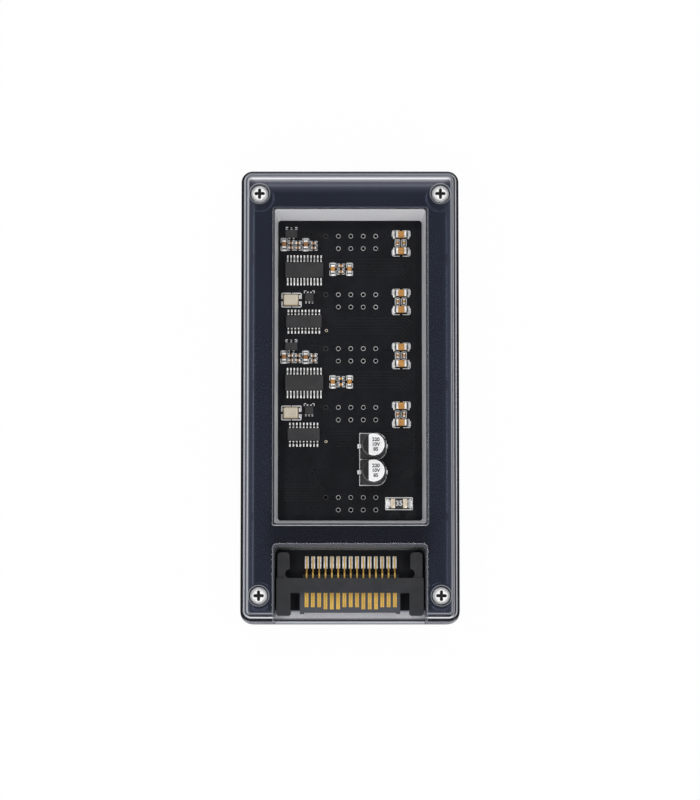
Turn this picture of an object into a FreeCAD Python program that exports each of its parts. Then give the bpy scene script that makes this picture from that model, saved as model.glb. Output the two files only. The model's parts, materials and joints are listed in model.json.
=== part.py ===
import FreeCAD, Part
import os

# Internal USB hub: a black circuit board in a smoke-clear screwed case.
# Millimetres. +X runs across the case, +Y along it away from the power inlet,
# and +Z out of the windowed face. The part lies on its header side, at Z = 0.

# Case
CASE_WIDTH = 43.9
CASE_LENGTH = 91.15
CORNER_RADIUS = 2.2
COVER_WALL = 2.2
FACE_PLATE = 2.0
FACE_ROUND = 1.5
COVER_DRAFT = 0.3
CAVITY_RADIUS = 0.8
BASE_WALL = 1.9
BASE_FLOOR = 1.8
BASE_DRAFT = 0.15
FOOT_ROUND = 0.8
PARTING_DROP = 0.8
FACE_ABOVE_BOARD = 7.0

# Window in the face, with drafted rim walls that end just above the board
WINDOW_WIDTH = 31.5
WINDOW_TOP_INSET = 7.4
WINDOW_RADIUS = 0.6
WINDOW_SIDE_DRAFT = 0.65
WINDOW_TOP_DRAFT = 1.35
WINDOW_BOTTOM_DRAFT = 0.95
RIM_WALL = 1.2
RIM_ROUND = 0.45
RIM_GAP = 0.05

# Notch round the power inlet, open at the lower end of the case
BRIDGE_WIDTH = 3.36
NOTCH_CLEARANCE = 0.2
NOTCH_END_GAP = 0.64
NOTCH_SIDE_DRAFT = 0.3
NOTCH_TOP_DRAFT = 0.75
SILL_DROP = 0.2
SILL_ROUND = 0.7

# Screws
SCREW_SIDE_INSET = 3.65
SCREW_TOP_INSET = 4.65
SCREW_BOTTOM_INSET = 5.2
HEAD_DIAMETER = 3.5
HEAD_HEIGHT = 1.3
HEAD_EDGE = 0.4
HEAD_BULGE_OUT = 1.05
HEAD_BULGE_DROP = 0.2
HEAD_RECESS = 0.1
HEAD_CLEARANCE = 0.25
SHANK_DIAMETER = 2.0
SHANK_LENGTH = 12.0
SHANK_POINT = 0.8
SHANK_TIP_DIAMETER = 1.0
SHANK_CLEARANCE = 0.1
CROSS_SPAN = 2.1
CROSS_WIDTH = 0.5
CROSS_DEPTH = 0.8
CROSS_FLOOR_SPAN = 0.9
CROSS_MOUTH = 0.2
BOSS_WALL = 0.6

# Board and its supports
BOARD_THICKNESS = 1.6
BOARD_CLEARANCE = 0.25
BOARD_RADIUS = 0.6
BOSS_CLEARANCE = 0.3
RIB_THICKNESS = 1.6
RIB_OVERLAP = 1.1
RIB_CLEARANCE = 0.15
RIB_PLACES = (-24.0, 3.0, 29.0)

# Pin headers on the hidden side: two rows of five with one pin left out
HEADER_PITCH = 2.54
HEADER_COLUMNS = 5
HEADER_HEIGHT = 2.5
HEADER_CORNER = 0.6
HEADER_X = 0.16
PIN_SIZE = 0.64
PIN_REACH = 6.0
PIN_TIP = 0.5
PIN_TIP_SIZE = 0.3
PIN_TIP_RECESS = 0.9
TAIL_SIZE = 0.46
TAIL_LENGTH = 1.0
TAIL_HOLE = 0.75
WELL_CLEARANCE = 0.45
WELL_RADIUS = 0.5
WELL_LEAD_IN = 0.5

# Board layout: drops from the foot of the window's upper rim wall, rises from the foot of its lower one
FIRST_HEADER_DROP = 4.45
CHANNEL_PITCH = 23.1
CHANNEL_COUNT = 2
HEADER_STEP = 12.03
UPSTREAM_RISE = 3.44

# Layout of one channel: X from the foot of the window's left rim wall, Y from its first header's middle
REGULATOR_PLACE = (2.7, 1.66)
HUB_CHIP_PLACE = (5.34, -5.78)
DRIVER_CHIP_PLACE = (5.25, -16.32)
SMALL_CHIP_PLACE = (6.36, -11.36)
CRYSTAL_PLACE = (2.61, -11.89)
LOGIC_CAPS = ((2.58, -0.2), (2.58, -1.15), (4.02, -0.2), (4.02, -1.15), (7.21, -0.25), (7.21, -1.2))
LOGIC_MEDIUM_CAPS = ((1.2, -0.45), (5.63, -0.5))
HUB_CAPS = ((12.8, -4.9), (12.8, -6.1))
HUB_MEDIUM_CAPS = ((11.15, -5.55), (14.55, -5.55))

# Gull-wing chips
LEAD_WIDTH = 0.34
LEAD_THICKNESS = 0.16
LEAD_SHOULDER = 0.25
LEAD_FOOT = 0.65
SMALL_LEAD_SHOULDER = 0.1
SMALL_LEAD_FOOT = 0.25
CHIP_MARGIN = 0.54
CHIP_STAND_OFF = 0.1
MOULD_DRAFT = 0.12
HUB_LEAD_COUNT = 11
HUB_LEAD_PITCH = 0.68
HUB_BODY_WIDTH = 3.25
HUB_SPAN = 6.2
HUB_HEIGHT = 1.5
DRIVER_LEAD_COUNT = (10, 9)
DRIVER_LEAD_PITCH = 0.7
DRIVER_BODY_WIDTH = 2.6
DRIVER_SPAN = 4.9
DRIVER_HEIGHT = 1.2
REGULATOR_LENGTH = 2.6
REGULATOR_WIDTH = 1.7
REGULATOR_SPAN = 2.75
REGULATOR_HEIGHT = 1.1
REGULATOR_LEAD_PITCH = 0.9
REGULATOR_LEAD_COUNT = (3, 2)
SMALL_CHIP_LENGTH = 1.8
SMALL_CHIP_WIDTH = 1.8
SMALL_CHIP_SPAN = 2.4
SMALL_CHIP_HEIGHT = 0.9
SMALL_CHIP_LEAD_PITCH = 0.65
SMALL_CHIP_LEAD_COUNT = (2, 3)

# Crystals
CRYSTAL_LENGTH = 3.2
CRYSTAL_WIDTH = 2.5
CRYSTAL_BASE_HEIGHT = 0.5
CRYSTAL_RADIUS = 0.25
CRYSTAL_LID_INSET = 0.15
CRYSTAL_LID_HEIGHT = 0.4
CRYSTAL_LID_DRAFT = 0.12

# Chip capacitors: length, width, height and terminal length of each size
LARGE_CAP = (2.1, 1.3, 1.2, 0.42)
MEDIUM_CAP = (1.6, 0.85, 0.8, 0.35)
SMALL_CAP = (1.0, 0.5, 0.5, 0.25)
PORT_CAP_INSET = 4.2
PORT_CAP_STEP = 1.69
PORT_CAP_DROP = 0.17
PORT_SMALL_CAP_INSETS = (4.95, 3.65)

# Can capacitors
CAN_INSET = 9.89
CAN_RISES = (15.1, 9.81)
CAN_DIAMETER = 4.5
CAN_HEIGHT = 4.5
CAN_ROUND = 0.2
CAN_CRIMP_HEIGHT = 0.7
CAN_CRIMP_DEPTH = 0.18
CAN_CRIMP_LENGTH = 0.5
CAN_BASE_SIDE = 5.0
CAN_BASE_HEIGHT = 0.9
CAN_BASE_CHAMFER = 1.1
CAN_TAB_WIDTH = 0.7
CAN_TAB_THICKNESS = 0.25
CAN_TAB_REACH = 0.35

# Fuse
FUSE_INSET = 4.71
FUSE_RISE = 3.44
FUSE_SIZE = (3.3, 1.9, 0.9, 0.85)

# Power inlet with fifteen contacts on a tongue
CONTACT_COUNT = 15
CONTACT_PITCH = 1.27
CONTACT_X = 0.15
CONTACT_WIDTH = 0.74
CONTACT_THICKNESS = 0.22
CONTACT_PROUD = 0.05
CONTACT_SHORT_SET_BACK = 1.1
CONTACT_LONG_SET_BACK = 0.68
LONG_CONTACT_NUMBERS = (4, 5, 6, 10, 11, 12)
TAIL_WIDTH = 0.3
TAIL_FOOT_LENGTH = 2.4
TAIL_SLOPE = 1.3
TAIL_STRAIGHT = 0.85
INLET_WIDTH = 29.6
INLET_END_INSET = 1.3
INLET_HEIGHT = 5.0
ARM_WIDTH = 2.85
ARM_REACH = 4.55
ARM_ROUND = 0.5
CROSSBAR_DEPTH = 2.95
INLET_POST_WIDTH = 2.45
INLET_POST_DEPTH = 5.2
INLET_POST_HEIGHT = 4.3
INLET_POST_ROUND = 0.7
INLET_RELIEF_RADIUS = 0.9
COMB_DEPTH = 0.75
COMB_MARGIN = 0.75
TONGUE_WIDTH = 20.2
TONGUE_REACH = 3.95
TONGUE_LIFT = 2.1
TONGUE_THICKNESS = 1.25
TONGUE_LEG_WIDTH = 0.85
TONGUE_LEG_DEPTH = 0.9
TONGUE_LEG_LEAD = 0.25
PEG_DIAMETER = 1.3
PEG_LENGTH = 1.2
PEG_CLEARANCE = 0.05

# Share of a round corner's radius between its sharp point and the middle of its arc
ARC_LEAN = 1 - 0.5 ** 0.5

# Levels
FLOOR_MIDDLE = BASE_FLOOR / 2
BOARD_BOTTOM = PIN_TIP_RECESS + PIN_REACH + HEADER_HEIGHT
BOARD_TOP = BOARD_BOTTOM + BOARD_THICKNESS
FACE_Z = BOARD_TOP + FACE_ABOVE_BOARD
PARTING_Z = BOARD_BOTTOM - PARTING_DROP
RIM_FOOT_Z = BOARD_TOP + RIM_GAP
SILL_Z = BOARD_TOP - SILL_DROP
HEAD_SEAT_Z = FACE_Z - HEAD_RECESS - HEAD_HEIGHT

# Outlines and places
HALF_WIDTH = CASE_WIDTH / 2
HALF_LENGTH = CASE_LENGTH / 2
BOARD_HALF_WIDTH = HALF_WIDTH - COVER_WALL - BOARD_CLEARANCE
BOARD_HALF_LENGTH = HALF_LENGTH - COVER_WALL - BOARD_CLEARANCE
INLET_FRONT = -HALF_LENGTH + INLET_END_INSET
CROSSBAR_FRONT = INLET_FRONT + ARM_REACH
CROSSBAR_BACK = CROSSBAR_FRONT + CROSSBAR_DEPTH
INLET_BACK = CROSSBAR_BACK + max(INLET_POST_DEPTH, TAIL_STRAIGHT + TAIL_SLOPE + TAIL_FOOT_LENGTH)
NOTCH_TOP = INLET_BACK + NOTCH_END_GAP + NOTCH_TOP_DRAFT + RIM_ROUND
WINDOW_BOTTOM = NOTCH_TOP + BRIDGE_WIDTH
WINDOW_TOP = HALF_LENGTH - WINDOW_TOP_INSET
WINDOW_FOOT_BOTTOM = WINDOW_BOTTOM + RIM_ROUND + WINDOW_BOTTOM_DRAFT
WINDOW_FOOT_TOP = WINDOW_TOP - RIM_ROUND - WINDOW_TOP_DRAFT
WINDOW_FOOT_SIDE = WINDOW_WIDTH / 2 - RIM_ROUND - WINDOW_SIDE_DRAFT
HEAD_BORE_RADIUS = HEAD_DIAMETER / 2 + HEAD_CLEARANCE
BOSS_RADIUS = HEAD_BORE_RADIUS + BOSS_WALL
SCREW_X = HALF_WIDTH - SCREW_SIDE_INSET
SCREW_Y = (HALF_LENGTH - SCREW_TOP_INSET, -HALF_LENGTH + SCREW_BOTTOM_INSET)
SCREW_PLACES = [(side * SCREW_X, y) for y in SCREW_Y for side in (-1, 1)]
CHANNEL_Y = [WINDOW_FOOT_TOP - FIRST_HEADER_DROP - n * CHANNEL_PITCH for n in range(CHANNEL_COUNT)]
PORT_Y = [y - step for y in CHANNEL_Y for step in (0, HEADER_STEP)]
HEADER_Y = PORT_Y + [WINDOW_FOOT_BOTTOM + UPSTREAM_RISE]
HEADER_LENGTH = HEADER_PITCH * HEADER_COLUMNS
HEADER_WIDTH = HEADER_PITCH * 2
COLUMN_X = [HEADER_X + (n - (HEADER_COLUMNS - 1) / 2) * HEADER_PITCH for n in range(HEADER_COLUMNS)]
INLET_POST_X = INLET_WIDTH / 2 - NOTCH_CLEARANCE - INLET_POST_WIDTH / 2
INLET_POST_Y = CROSSBAR_BACK + INLET_POST_DEPTH / 2
TONGUE_FRONT = CROSSBAR_FRONT - TONGUE_REACH
TONGUE_TOP = BOARD_TOP + TONGUE_LIFT + TONGUE_THICKNESS
CONTACT_TOP = TONGUE_TOP + CONTACT_PROUD
CONTACT_PLACES = [CONTACT_X + (n - (CONTACT_COUNT - 1) / 2) * CONTACT_PITCH for n in range(CONTACT_COUNT)]


def outline(x_low, x_high, y_low, y_high, radius, z):
    """A level rectangle with rounded corners, as one wire."""
    lean = radius * ARC_LEAN
    edges = []
    last = None
    for x, y, sx, sy, turn in (
        (x_low, y_low, 1, 1, True),
        (x_high, y_low, -1, 1, False),
        (x_high, y_high, -1, -1, True),
        (x_low, y_high, 1, -1, False),
    ):
        on_y = FreeCAD.Vector(x, y + sy * radius, z)
        on_x = FreeCAD.Vector(x + sx * radius, y, z)
        middle = FreeCAD.Vector(x + sx * lean, y + sy * lean, z)
        start, end = (on_y, on_x) if turn else (on_x, on_y)
        if last is not None:
            edges.append(Part.LineSegment(last, start).toShape())
        edges.append(Part.Arc(start, middle, end).toShape())
        last = end
    edges.append(Part.LineSegment(last, edges[0].Vertexes[0].Point).toShape())
    return Part.Wire(edges)


def slab(x_low, x_high, y_low, y_high, radius, z_low, z_high):
    """An upright prism on a rounded rectangle."""
    face = Part.Face(outline(x_low, x_high, y_low, y_high, radius, z_low))
    return face.extrude(FreeCAD.Vector(0, 0, z_high - z_low))


def taper(lower, upper):
    """A drafted prism between two rounded rectangles."""
    return Part.makeLoft([outline(*lower), outline(*upper)], True, True)


def wedge(lower, upper):
    """A drafted prism between two sharp rectangles, each given by its X and Y limits and its level."""
    x_low, x_high, y_low, y_high, z_low = lower
    u_low, u_high, v_low, v_high, z_high = upper
    solid = Part.makeWedge(x_low, z_low, -y_high, -v_high, u_low, x_high, z_high, -y_low, -v_low, u_high)
    solid.rotate(FreeCAD.Vector(0, 0, 0), FreeCAD.Vector(1, 0, 0), 90)
    return solid


def block(x_low, x_high, y_low, y_high, z_low, z_high):
    """A box between six planes."""
    corner = FreeCAD.Vector(x_low, y_low, z_low)
    return Part.makeBox(x_high - x_low, y_high - y_low, z_high - z_low, corner)


def post(x, y, radius, z_low, z_high):
    """An upright cylinder."""
    return Part.makeCylinder(radius, z_high - z_low, FreeCAD.Vector(x, y, z_low))


def strip(points, x_middle, width):
    """A bent strip: its Y and Z section carried across X."""
    x_low = x_middle - width / 2
    ring = [FreeCAD.Vector(x_low, y, z) for y, z in points + points[:1]]
    return Part.Face(Part.makePolygon(ring)).extrude(FreeCAD.Vector(width, 0, 0))


def edges_at(shape, z, x_reach, y_low, y_high):
    """The edges of a shape that lie flat at one level inside a rectangle."""
    slack = 1e-4
    found = []
    for edge in shape.Edges:
        box = edge.BoundBox
        level = abs(box.ZMin - z) < slack and abs(box.ZMax - z) < slack
        inside_x = box.XMin > -x_reach - slack and box.XMax < x_reach + slack
        inside_y = box.YMin > y_low - slack and box.YMax < y_high + slack
        if level and inside_x and inside_y:
            found.append(edge)
    return found


def joined(first, others):
    """One solid from several that overlap."""
    return first.multiFuse(others).removeSplitter()


def save(node, solids):
    """Write one node, which holds one solid or several separate ones."""
    Part.makeCompound(solids).exportStep(f"parts/{node}.step")


def case_shell(lower_growth, lower_z, upper_growth, upper_z):
    """The case's outer form between two levels, each wider than the face by its growth."""
    ends = []
    for growth, z in ((lower_growth, lower_z), (upper_growth, upper_z)):
        x = HALF_WIDTH + growth
        y = HALF_LENGTH + growth
        ends.append((-x, x, -y, y, CORNER_RADIUS + growth, z))
    return taper(*ends)


def window_form(growth):
    """The window's drafted hollow, or with a growth the outside of its rim wall."""
    x = WINDOW_WIDTH / 2 - RIM_ROUND + growth
    low = WINDOW_BOTTOM + RIM_ROUND - growth
    high = WINDOW_TOP - RIM_ROUND + growth
    x_foot = x - WINDOW_SIDE_DRAFT
    radius = WINDOW_RADIUS + growth
    foot = (-x_foot, x_foot, low + WINDOW_BOTTOM_DRAFT, high - WINDOW_TOP_DRAFT, radius, RIM_FOOT_Z)
    return taper(foot, (-x, x, low, high, radius, FACE_Z))


def notch_form(growth, foot_z):
    """The inlet notch's drafted hollow, or with a growth the outside of its rim wall."""
    x_foot = INLET_WIDTH / 2 + NOTCH_CLEARANCE + growth
    x = x_foot + NOTCH_SIDE_DRAFT
    past_end = -HALF_LENGTH - COVER_DRAFT - CORNER_RADIUS - growth
    high = NOTCH_TOP - RIM_ROUND + growth
    radius = WINDOW_RADIUS + growth
    foot = (-x_foot, x_foot, past_end, high - NOTCH_TOP_DRAFT, radius, foot_z)
    return taper(foot, (-x, x, past_end, high, radius, FACE_Z))


def sill_edge():
    """What the round along the front edge of the inlet's sill takes away."""
    level = SILL_Z - SILL_ROUND
    end = -HALF_LENGTH - COVER_DRAFT * (FACE_Z - level) / (FACE_Z - PARTING_Z)
    half = INLET_WIDTH / 2 + NOTCH_CLEARANCE
    corner = block(-half, half, end - COVER_DRAFT, end + SILL_ROUND, level, SILL_Z)
    start = FreeCAD.Vector(-half, end + SILL_ROUND, level)
    return corner.cut(Part.makeCylinder(SILL_ROUND, 2 * half, start, FreeCAD.Vector(1, 0, 0)))


def clear_cover():
    """The smoke-clear moulding: face, walls, rim walls and screw bosses."""
    shell = case_shell(COVER_DRAFT, PARTING_Z, 0, FACE_Z)
    shell = shell.makeFillet(FACE_ROUND, edges_at(shell, FACE_Z, HALF_WIDTH, -HALF_LENGTH, HALF_LENGTH))
    x = HALF_WIDTH - COVER_WALL
    y = HALF_LENGTH - COVER_WALL
    cavity = slab(-x, x, -y, y, CAVITY_RADIUS, PARTING_Z, FACE_Z - FACE_PLATE)
    bosses = [post(bx, by, BOSS_RADIUS, PARTING_Z, FACE_Z) for bx, by in SCREW_PLACES]
    walls = [window_form(RIM_WALL), notch_form(RIM_WALL, RIM_FOOT_Z)] + bosses
    cover = joined(shell.cut(cavity), [wall.common(shell) for wall in walls])
    cover = cover.cut(window_form(0)).cut(notch_form(0, SILL_Z))
    notch_side = INLET_WIDTH / 2 + NOTCH_CLEARANCE + NOTCH_SIDE_DRAFT
    rims = edges_at(cover, FACE_Z, WINDOW_WIDTH / 2, WINDOW_BOTTOM, WINDOW_TOP)
    rims += edges_at(cover, FACE_Z, notch_side, -HALF_LENGTH, NOTCH_TOP)
    cover = cover.makeFillet(RIM_ROUND, rims)
    cover = cover.cut(sill_edge())
    for bx, by in SCREW_PLACES:
        cover = cover.cut(post(bx, by, HEAD_BORE_RADIUS, HEAD_SEAT_Z, FACE_Z))
        cover = cover.cut(post(bx, by, SHANK_DIAMETER / 2 + SHANK_CLEARANCE, PARTING_Z, FACE_Z))
    return cover


def board_rib(side, y):
    """One upright rib inside the base that carries the board's edge."""
    inner = BOARD_HALF_WIDTH - RIB_OVERLAP
    root = HALF_WIDTH + COVER_DRAFT - BASE_WALL
    step = HALF_WIDTH - COVER_WALL - RIB_CLEARANCE
    low, high = y - RIB_THICKNESS / 2, y + RIB_THICKNESS / 2
    lower = sorted((side * inner, side * root))
    upper = sorted((side * inner, side * step))
    foot = block(lower[0], lower[1], low, high, FLOOR_MIDDLE, PARTING_Z)
    return foot.fuse(block(upper[0], upper[1], low, high, FLOOR_MIDDLE, BOARD_BOTTOM))


def header_well(y):
    """The cut-out that a header plug goes through, wider at the outside."""
    x = HEADER_LENGTH / 2 + WELL_CLEARANCE
    w = HEADER_WIDTH / 2 + WELL_CLEARANCE
    lead = WELL_LEAD_IN
    well = slab(HEADER_X - x, HEADER_X + x, y - w, y + w, WELL_RADIUS, 0, BASE_FLOOR)
    outer = (HEADER_X - x - lead, HEADER_X + x + lead, y - w - lead, y + w + lead, WELL_RADIUS + lead, 0)
    return well.fuse(taper(outer, (HEADER_X - x, HEADER_X + x, y - w, y + w, WELL_RADIUS, lead)))


def base_shell():
    """The tray under the board: floor with header cut-outs, walls, ribs and bosses."""
    shell = case_shell(COVER_DRAFT - BASE_DRAFT, 0, COVER_DRAFT, PARTING_Z)
    reach = HALF_WIDTH + COVER_DRAFT
    end = HALF_LENGTH + COVER_DRAFT
    shell = shell.makeFillet(FOOT_ROUND, edges_at(shell, 0, reach, -end, end))
    x = reach - BASE_WALL
    y = end - BASE_WALL
    cavity = slab(-x, x, -y, y, CAVITY_RADIUS, BASE_FLOOR, PARTING_Z)
    inner = [post(bx, by, BOSS_RADIUS, FLOOR_MIDDLE, PARTING_Z) for bx, by in SCREW_PLACES]
    inner += [board_rib(side, rib_y) for rib_y in RIB_PLACES for side in (-1, 1)]
    base = joined(shell.cut(cavity), inner)
    for header_y in HEADER_Y:
        base = base.cut(header_well(header_y))
    hole = SHANK_DIAMETER / 2 + SHANK_CLEARANCE
    hole_end = HEAD_SEAT_Z - SHANK_LENGTH - SHANK_CLEARANCE
    for bx, by in SCREW_PLACES:
        base = base.cut(post(bx, by, hole, hole_end, PARTING_Z))
    return base


def cover_screw(x, y):
    """A pan-head screw with a cross recess and a plain shank."""
    radius = HEAD_DIAMETER / 2
    shank = SHANK_DIAMETER / 2
    seat = HEAD_SEAT_Z
    top = seat + HEAD_HEIGHT
    tip = seat - SHANK_LENGTH
    rim = FreeCAD.Vector(radius, 0, seat + HEAD_EDGE)
    crown = FreeCAD.Vector(0, 0, top)
    bulge = FreeCAD.Vector(HEAD_BULGE_OUT, 0, top - HEAD_BULGE_DROP)
    corners = [
        crown,
        FreeCAD.Vector(0, 0, tip),
        FreeCAD.Vector(SHANK_TIP_DIAMETER / 2, 0, tip),
        FreeCAD.Vector(shank, 0, tip + SHANK_POINT),
        FreeCAD.Vector(shank, 0, seat),
        FreeCAD.Vector(radius, 0, seat),
        rim,
    ]
    section = Part.Wire([Part.makePolygon(corners), Part.Arc(rim, bulge, crown).toShape()])
    screw = Part.Face(section).revolve(FreeCAD.Vector(0, 0, 0), FreeCAD.Vector(0, 0, 1), 360)
    floor = top - CROSS_DEPTH
    mouth = top + CROSS_MOUTH
    for long_x in (True, False):
        ends = []
        for span, z in ((CROSS_FLOOR_SPAN, floor), (CROSS_SPAN, mouth)):
            half_x, half_y = (span / 2, CROSS_WIDTH / 2) if long_x else (CROSS_WIDTH / 2, span / 2)
            ends.append((-half_x, half_x, -half_y, half_y, z))
        screw = screw.cut(wedge(*ends))
    screw.translate(FreeCAD.Vector(x, y, 0))
    return screw


def pin_places(header_y):
    """The nine pins of a header: the lower place of the first column is left out as the key."""
    upper = [(x, header_y + HEADER_PITCH / 2) for x in COLUMN_X]
    lower = [(x, header_y - HEADER_PITCH / 2) for x in COLUMN_X[1:]]
    return upper + lower


def square_post(x, y, side, z_low, z_high):
    """An upright square bar."""
    half = side / 2
    return block(x - half, x + half, y - half, y + half, z_low, z_high)


def header_pin(x, y):
    """One square pin with a pointed tip, and a slimmer tail that ends inside the board."""
    half, tip = PIN_SIZE / 2, PIN_TIP_SIZE / 2
    shoulder = PIN_TIP_RECESS + PIN_TIP
    point = wedge(
        (x - tip, x + tip, y - tip, y + tip, PIN_TIP_RECESS),
        (x - half, x + half, y - half, y + half, shoulder),
    )
    bar = square_post(x, y, PIN_SIZE, shoulder, BOARD_BOTTOM)
    tail = square_post(x, y, TAIL_SIZE, BOARD_BOTTOM, BOARD_BOTTOM + TAIL_LENGTH)
    return joined(point, [bar, tail])


def header_body(header_y):
    """The insulator block, nicked between its columns, with a square hole for each pin."""
    low = BOARD_BOTTOM - HEADER_HEIGHT
    half, w, c = HEADER_PITCH / 2, HEADER_WIDTH / 2, HEADER_CORNER
    cells = []
    for x in COLUMN_X:
        ring = [(-half + c, -w), (half - c, -w), (half, -w + c), (half, w - c)]
        ring = ring + [(-px, -py) for px, py in ring]
        points = [FreeCAD.Vector(x + px, header_y + py, low) for px, py in ring + ring[:1]]
        cells.append(Part.Face(Part.makePolygon(points)).extrude(FreeCAD.Vector(0, 0, HEADER_HEIGHT)))
    body = joined(cells[0], cells[1:])
    for x, y in pin_places(header_y):
        body = body.cut(square_post(x, y, PIN_SIZE, low, BOARD_BOTTOM))
    return body


def circuit_board():
    """The board, cut back round the screw bosses and drilled for the headers and the inlet's pegs."""
    x, y = BOARD_HALF_WIDTH, BOARD_HALF_LENGTH
    board = slab(-x, x, -y, y, BOARD_RADIUS, BOARD_BOTTOM, BOARD_TOP)
    holes = [post(bx, by, BOSS_RADIUS + BOSS_CLEARANCE, BOARD_BOTTOM, BOARD_TOP) for bx, by in SCREW_PLACES]
    for header_y in HEADER_Y:
        for px, py in pin_places(header_y):
            holes.append(post(px, py, TAIL_HOLE / 2, BOARD_BOTTOM, BOARD_TOP))
    for side in (-1, 1):
        radius = PEG_DIAMETER / 2 + PEG_CLEARANCE
        holes.append(post(side * INLET_POST_X, INLET_POST_Y, radius, BOARD_BOTTOM, BOARD_TOP))
    return board.cut(Part.makeCompound(holes))


def inlet_housing():
    """The inlet's moulding: crossbar, guide arms, board posts with pegs, comb and tongue."""
    half = INLET_WIDTH / 2
    top = BOARD_TOP + INLET_HEIGHT
    bar = block(-half, half, CROSSBAR_FRONT, CROSSBAR_BACK, BOARD_TOP, top)
    pieces = []
    for side in (-1, 1):
        ends = sorted((side * half, side * (half - ARM_WIDTH)))
        front = slab(ends[0], ends[1], INLET_FRONT, CROSSBAR_BACK, ARM_ROUND, BOARD_TOP, top)
        x = side * INLET_POST_X
        w = INLET_POST_WIDTH / 2
        back_end = CROSSBAR_BACK + INLET_POST_DEPTH
        post_top = BOARD_TOP + INLET_POST_HEIGHT
        back = slab(x - w, x + w, CROSSBAR_FRONT, back_end, INLET_POST_ROUND, BOARD_TOP, post_top)
        relief_y = CROSSBAR_BACK + INLET_RELIEF_RADIUS
        back = back.cut(post(x - side * w, relief_y, INLET_RELIEF_RADIUS, BOARD_TOP, post_top))
        peg = post(x, INLET_POST_Y, PEG_DIAMETER / 2, BOARD_TOP - PEG_LENGTH, BOARD_TOP + PEG_LENGTH)
        pieces += [front, back, peg]
    comb_low = CONTACT_PLACES[0] - COMB_MARGIN
    comb_high = CONTACT_PLACES[-1] + COMB_MARGIN
    comb_top = CONTACT_TOP - CONTACT_THICKNESS
    comb_back = CROSSBAR_BACK + COMB_DEPTH
    pieces.append(block(comb_low, comb_high, CROSSBAR_FRONT, comb_back, BOARD_TOP, comb_top))
    x = TONGUE_WIDTH / 2
    tongue_low = BOARD_TOP + TONGUE_LIFT
    pieces.append(block(-x, x, TONGUE_FRONT, CROSSBAR_BACK, tongue_low, TONGUE_TOP))
    for side, depth in ((-1, TONGUE_LEG_DEPTH), (1, 0)):
        ends = sorted((side * x, side * (x - TONGUE_LEG_WIDTH)))
        leg_front = TONGUE_FRONT - TONGUE_LEG_LEAD
        pieces.append(block(ends[0], ends[1], leg_front, CROSSBAR_BACK, tongue_low - depth, TONGUE_TOP))
    housing = joined(bar, pieces)
    slots = [contact_blade(n, CONTACT_PLACES[n]) for n in range(CONTACT_COUNT)]
    return housing.cut(Part.makeCompound(slots))


def contact_blade(number, x):
    """The flat part of a contact, from its front end on the tongue to the crossbar's back."""
    set_back = CONTACT_LONG_SET_BACK if number + 1 in LONG_CONTACT_NUMBERS else CONTACT_SHORT_SET_BACK
    half = CONTACT_WIDTH / 2
    low = CONTACT_TOP - CONTACT_THICKNESS
    return block(x - half, x + half, TONGUE_FRONT + set_back, CROSSBAR_BACK, low, CONTACT_TOP)


def inlet_contact(number, x):
    """One contact: blade, then a narrow tail that bends down to its board pad."""
    low, high = CONTACT_TOP - CONTACT_THICKNESS, CONTACT_TOP
    turn = CROSSBAR_BACK + TAIL_STRAIGHT
    land = turn + TAIL_SLOPE
    end = land + TAIL_FOOT_LENGTH
    foot = BOARD_TOP + CONTACT_THICKNESS
    section = [
        (CROSSBAR_BACK, low),
        (CROSSBAR_BACK, high),
        (turn + CONTACT_THICKNESS, high),
        (land, foot),
        (end, foot),
        (end, BOARD_TOP),
        (land - CONTACT_THICKNESS, BOARD_TOP),
        (turn, low),
    ]
    return joined(contact_blade(number, x), [strip(section, x, TAIL_WIDTH)])


def moulded_body(x, y, length, width, height):
    """A chip body with its sides drafted both ways from the lead level."""
    low = BOARD_TOP + CHIP_STAND_OFF
    high = BOARD_TOP + height
    middle = (low + high) / 2
    a, b, d = length / 2, width / 2, MOULD_DRAFT
    waist = (x - a, x + a, y - b, y + b, middle)
    ends = [(x - a + d, x + a - d, y - b + d, y + b - d, z) for z in (low, high)]
    return joined(wedge(ends[0], waist), [wedge(waist, ends[1])])


def gull_wing(x, y, side, body_width, span, height, bend):
    """One lead, from the chip's waist down to its foot on the board."""
    shoulder, foot_length = bend
    waist = BOARD_TOP + (CHIP_STAND_OFF + height) / 2
    half = LEAD_THICKNESS / 2
    foot = BOARD_TOP + LEAD_THICKNESS
    root = body_width / 2
    knee = root + shoulder
    end = span / 2
    heel = end - foot_length
    section = [
        (root, waist + half),
        (knee, waist + half),
        (heel + LEAD_THICKNESS, foot),
        (end, foot),
        (end, BOARD_TOP),
        (heel, BOARD_TOP),
        (knee - half, waist - half),
        (root, waist - half),
    ]
    return strip([(y + side * step, z) for step, z in section], x, LEAD_WIDTH)


def save_chip(name, place, length, width, span, height, pitch, counts, bend):
    """A moulded chip and its two rows of leads, as two nodes."""
    x, y = place
    save(f"{name}_body", [moulded_body(x, y, length, width, height)])
    leads = []
    for side, count in zip((1, -1), counts):
        for n in range(count):
            lead_x = x + (n - (count - 1) / 2) * pitch
            leads.append(gull_wing(lead_x, y, side, width, span, height, bend))
    save(f"{name}_leads", leads)


def chip_part(x, y, size, along_y):
    """A two-ended chip component lying across or along the board: its middle and its end caps."""
    length, width, height, end = size
    high = BOARD_TOP + height
    solids = []
    stations = (-length / 2, -length / 2 + end, length / 2 - end, length / 2)
    for start, stop in zip(stations, stations[1:]):
        if along_y:
            solids.append(block(x - width / 2, x + width / 2, y + start, y + stop, BOARD_TOP, high))
        else:
            solids.append(block(x + start, x + stop, y - width / 2, y + width / 2, BOARD_TOP, high))
    return solids[1], [solids[0], solids[2]]


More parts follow.
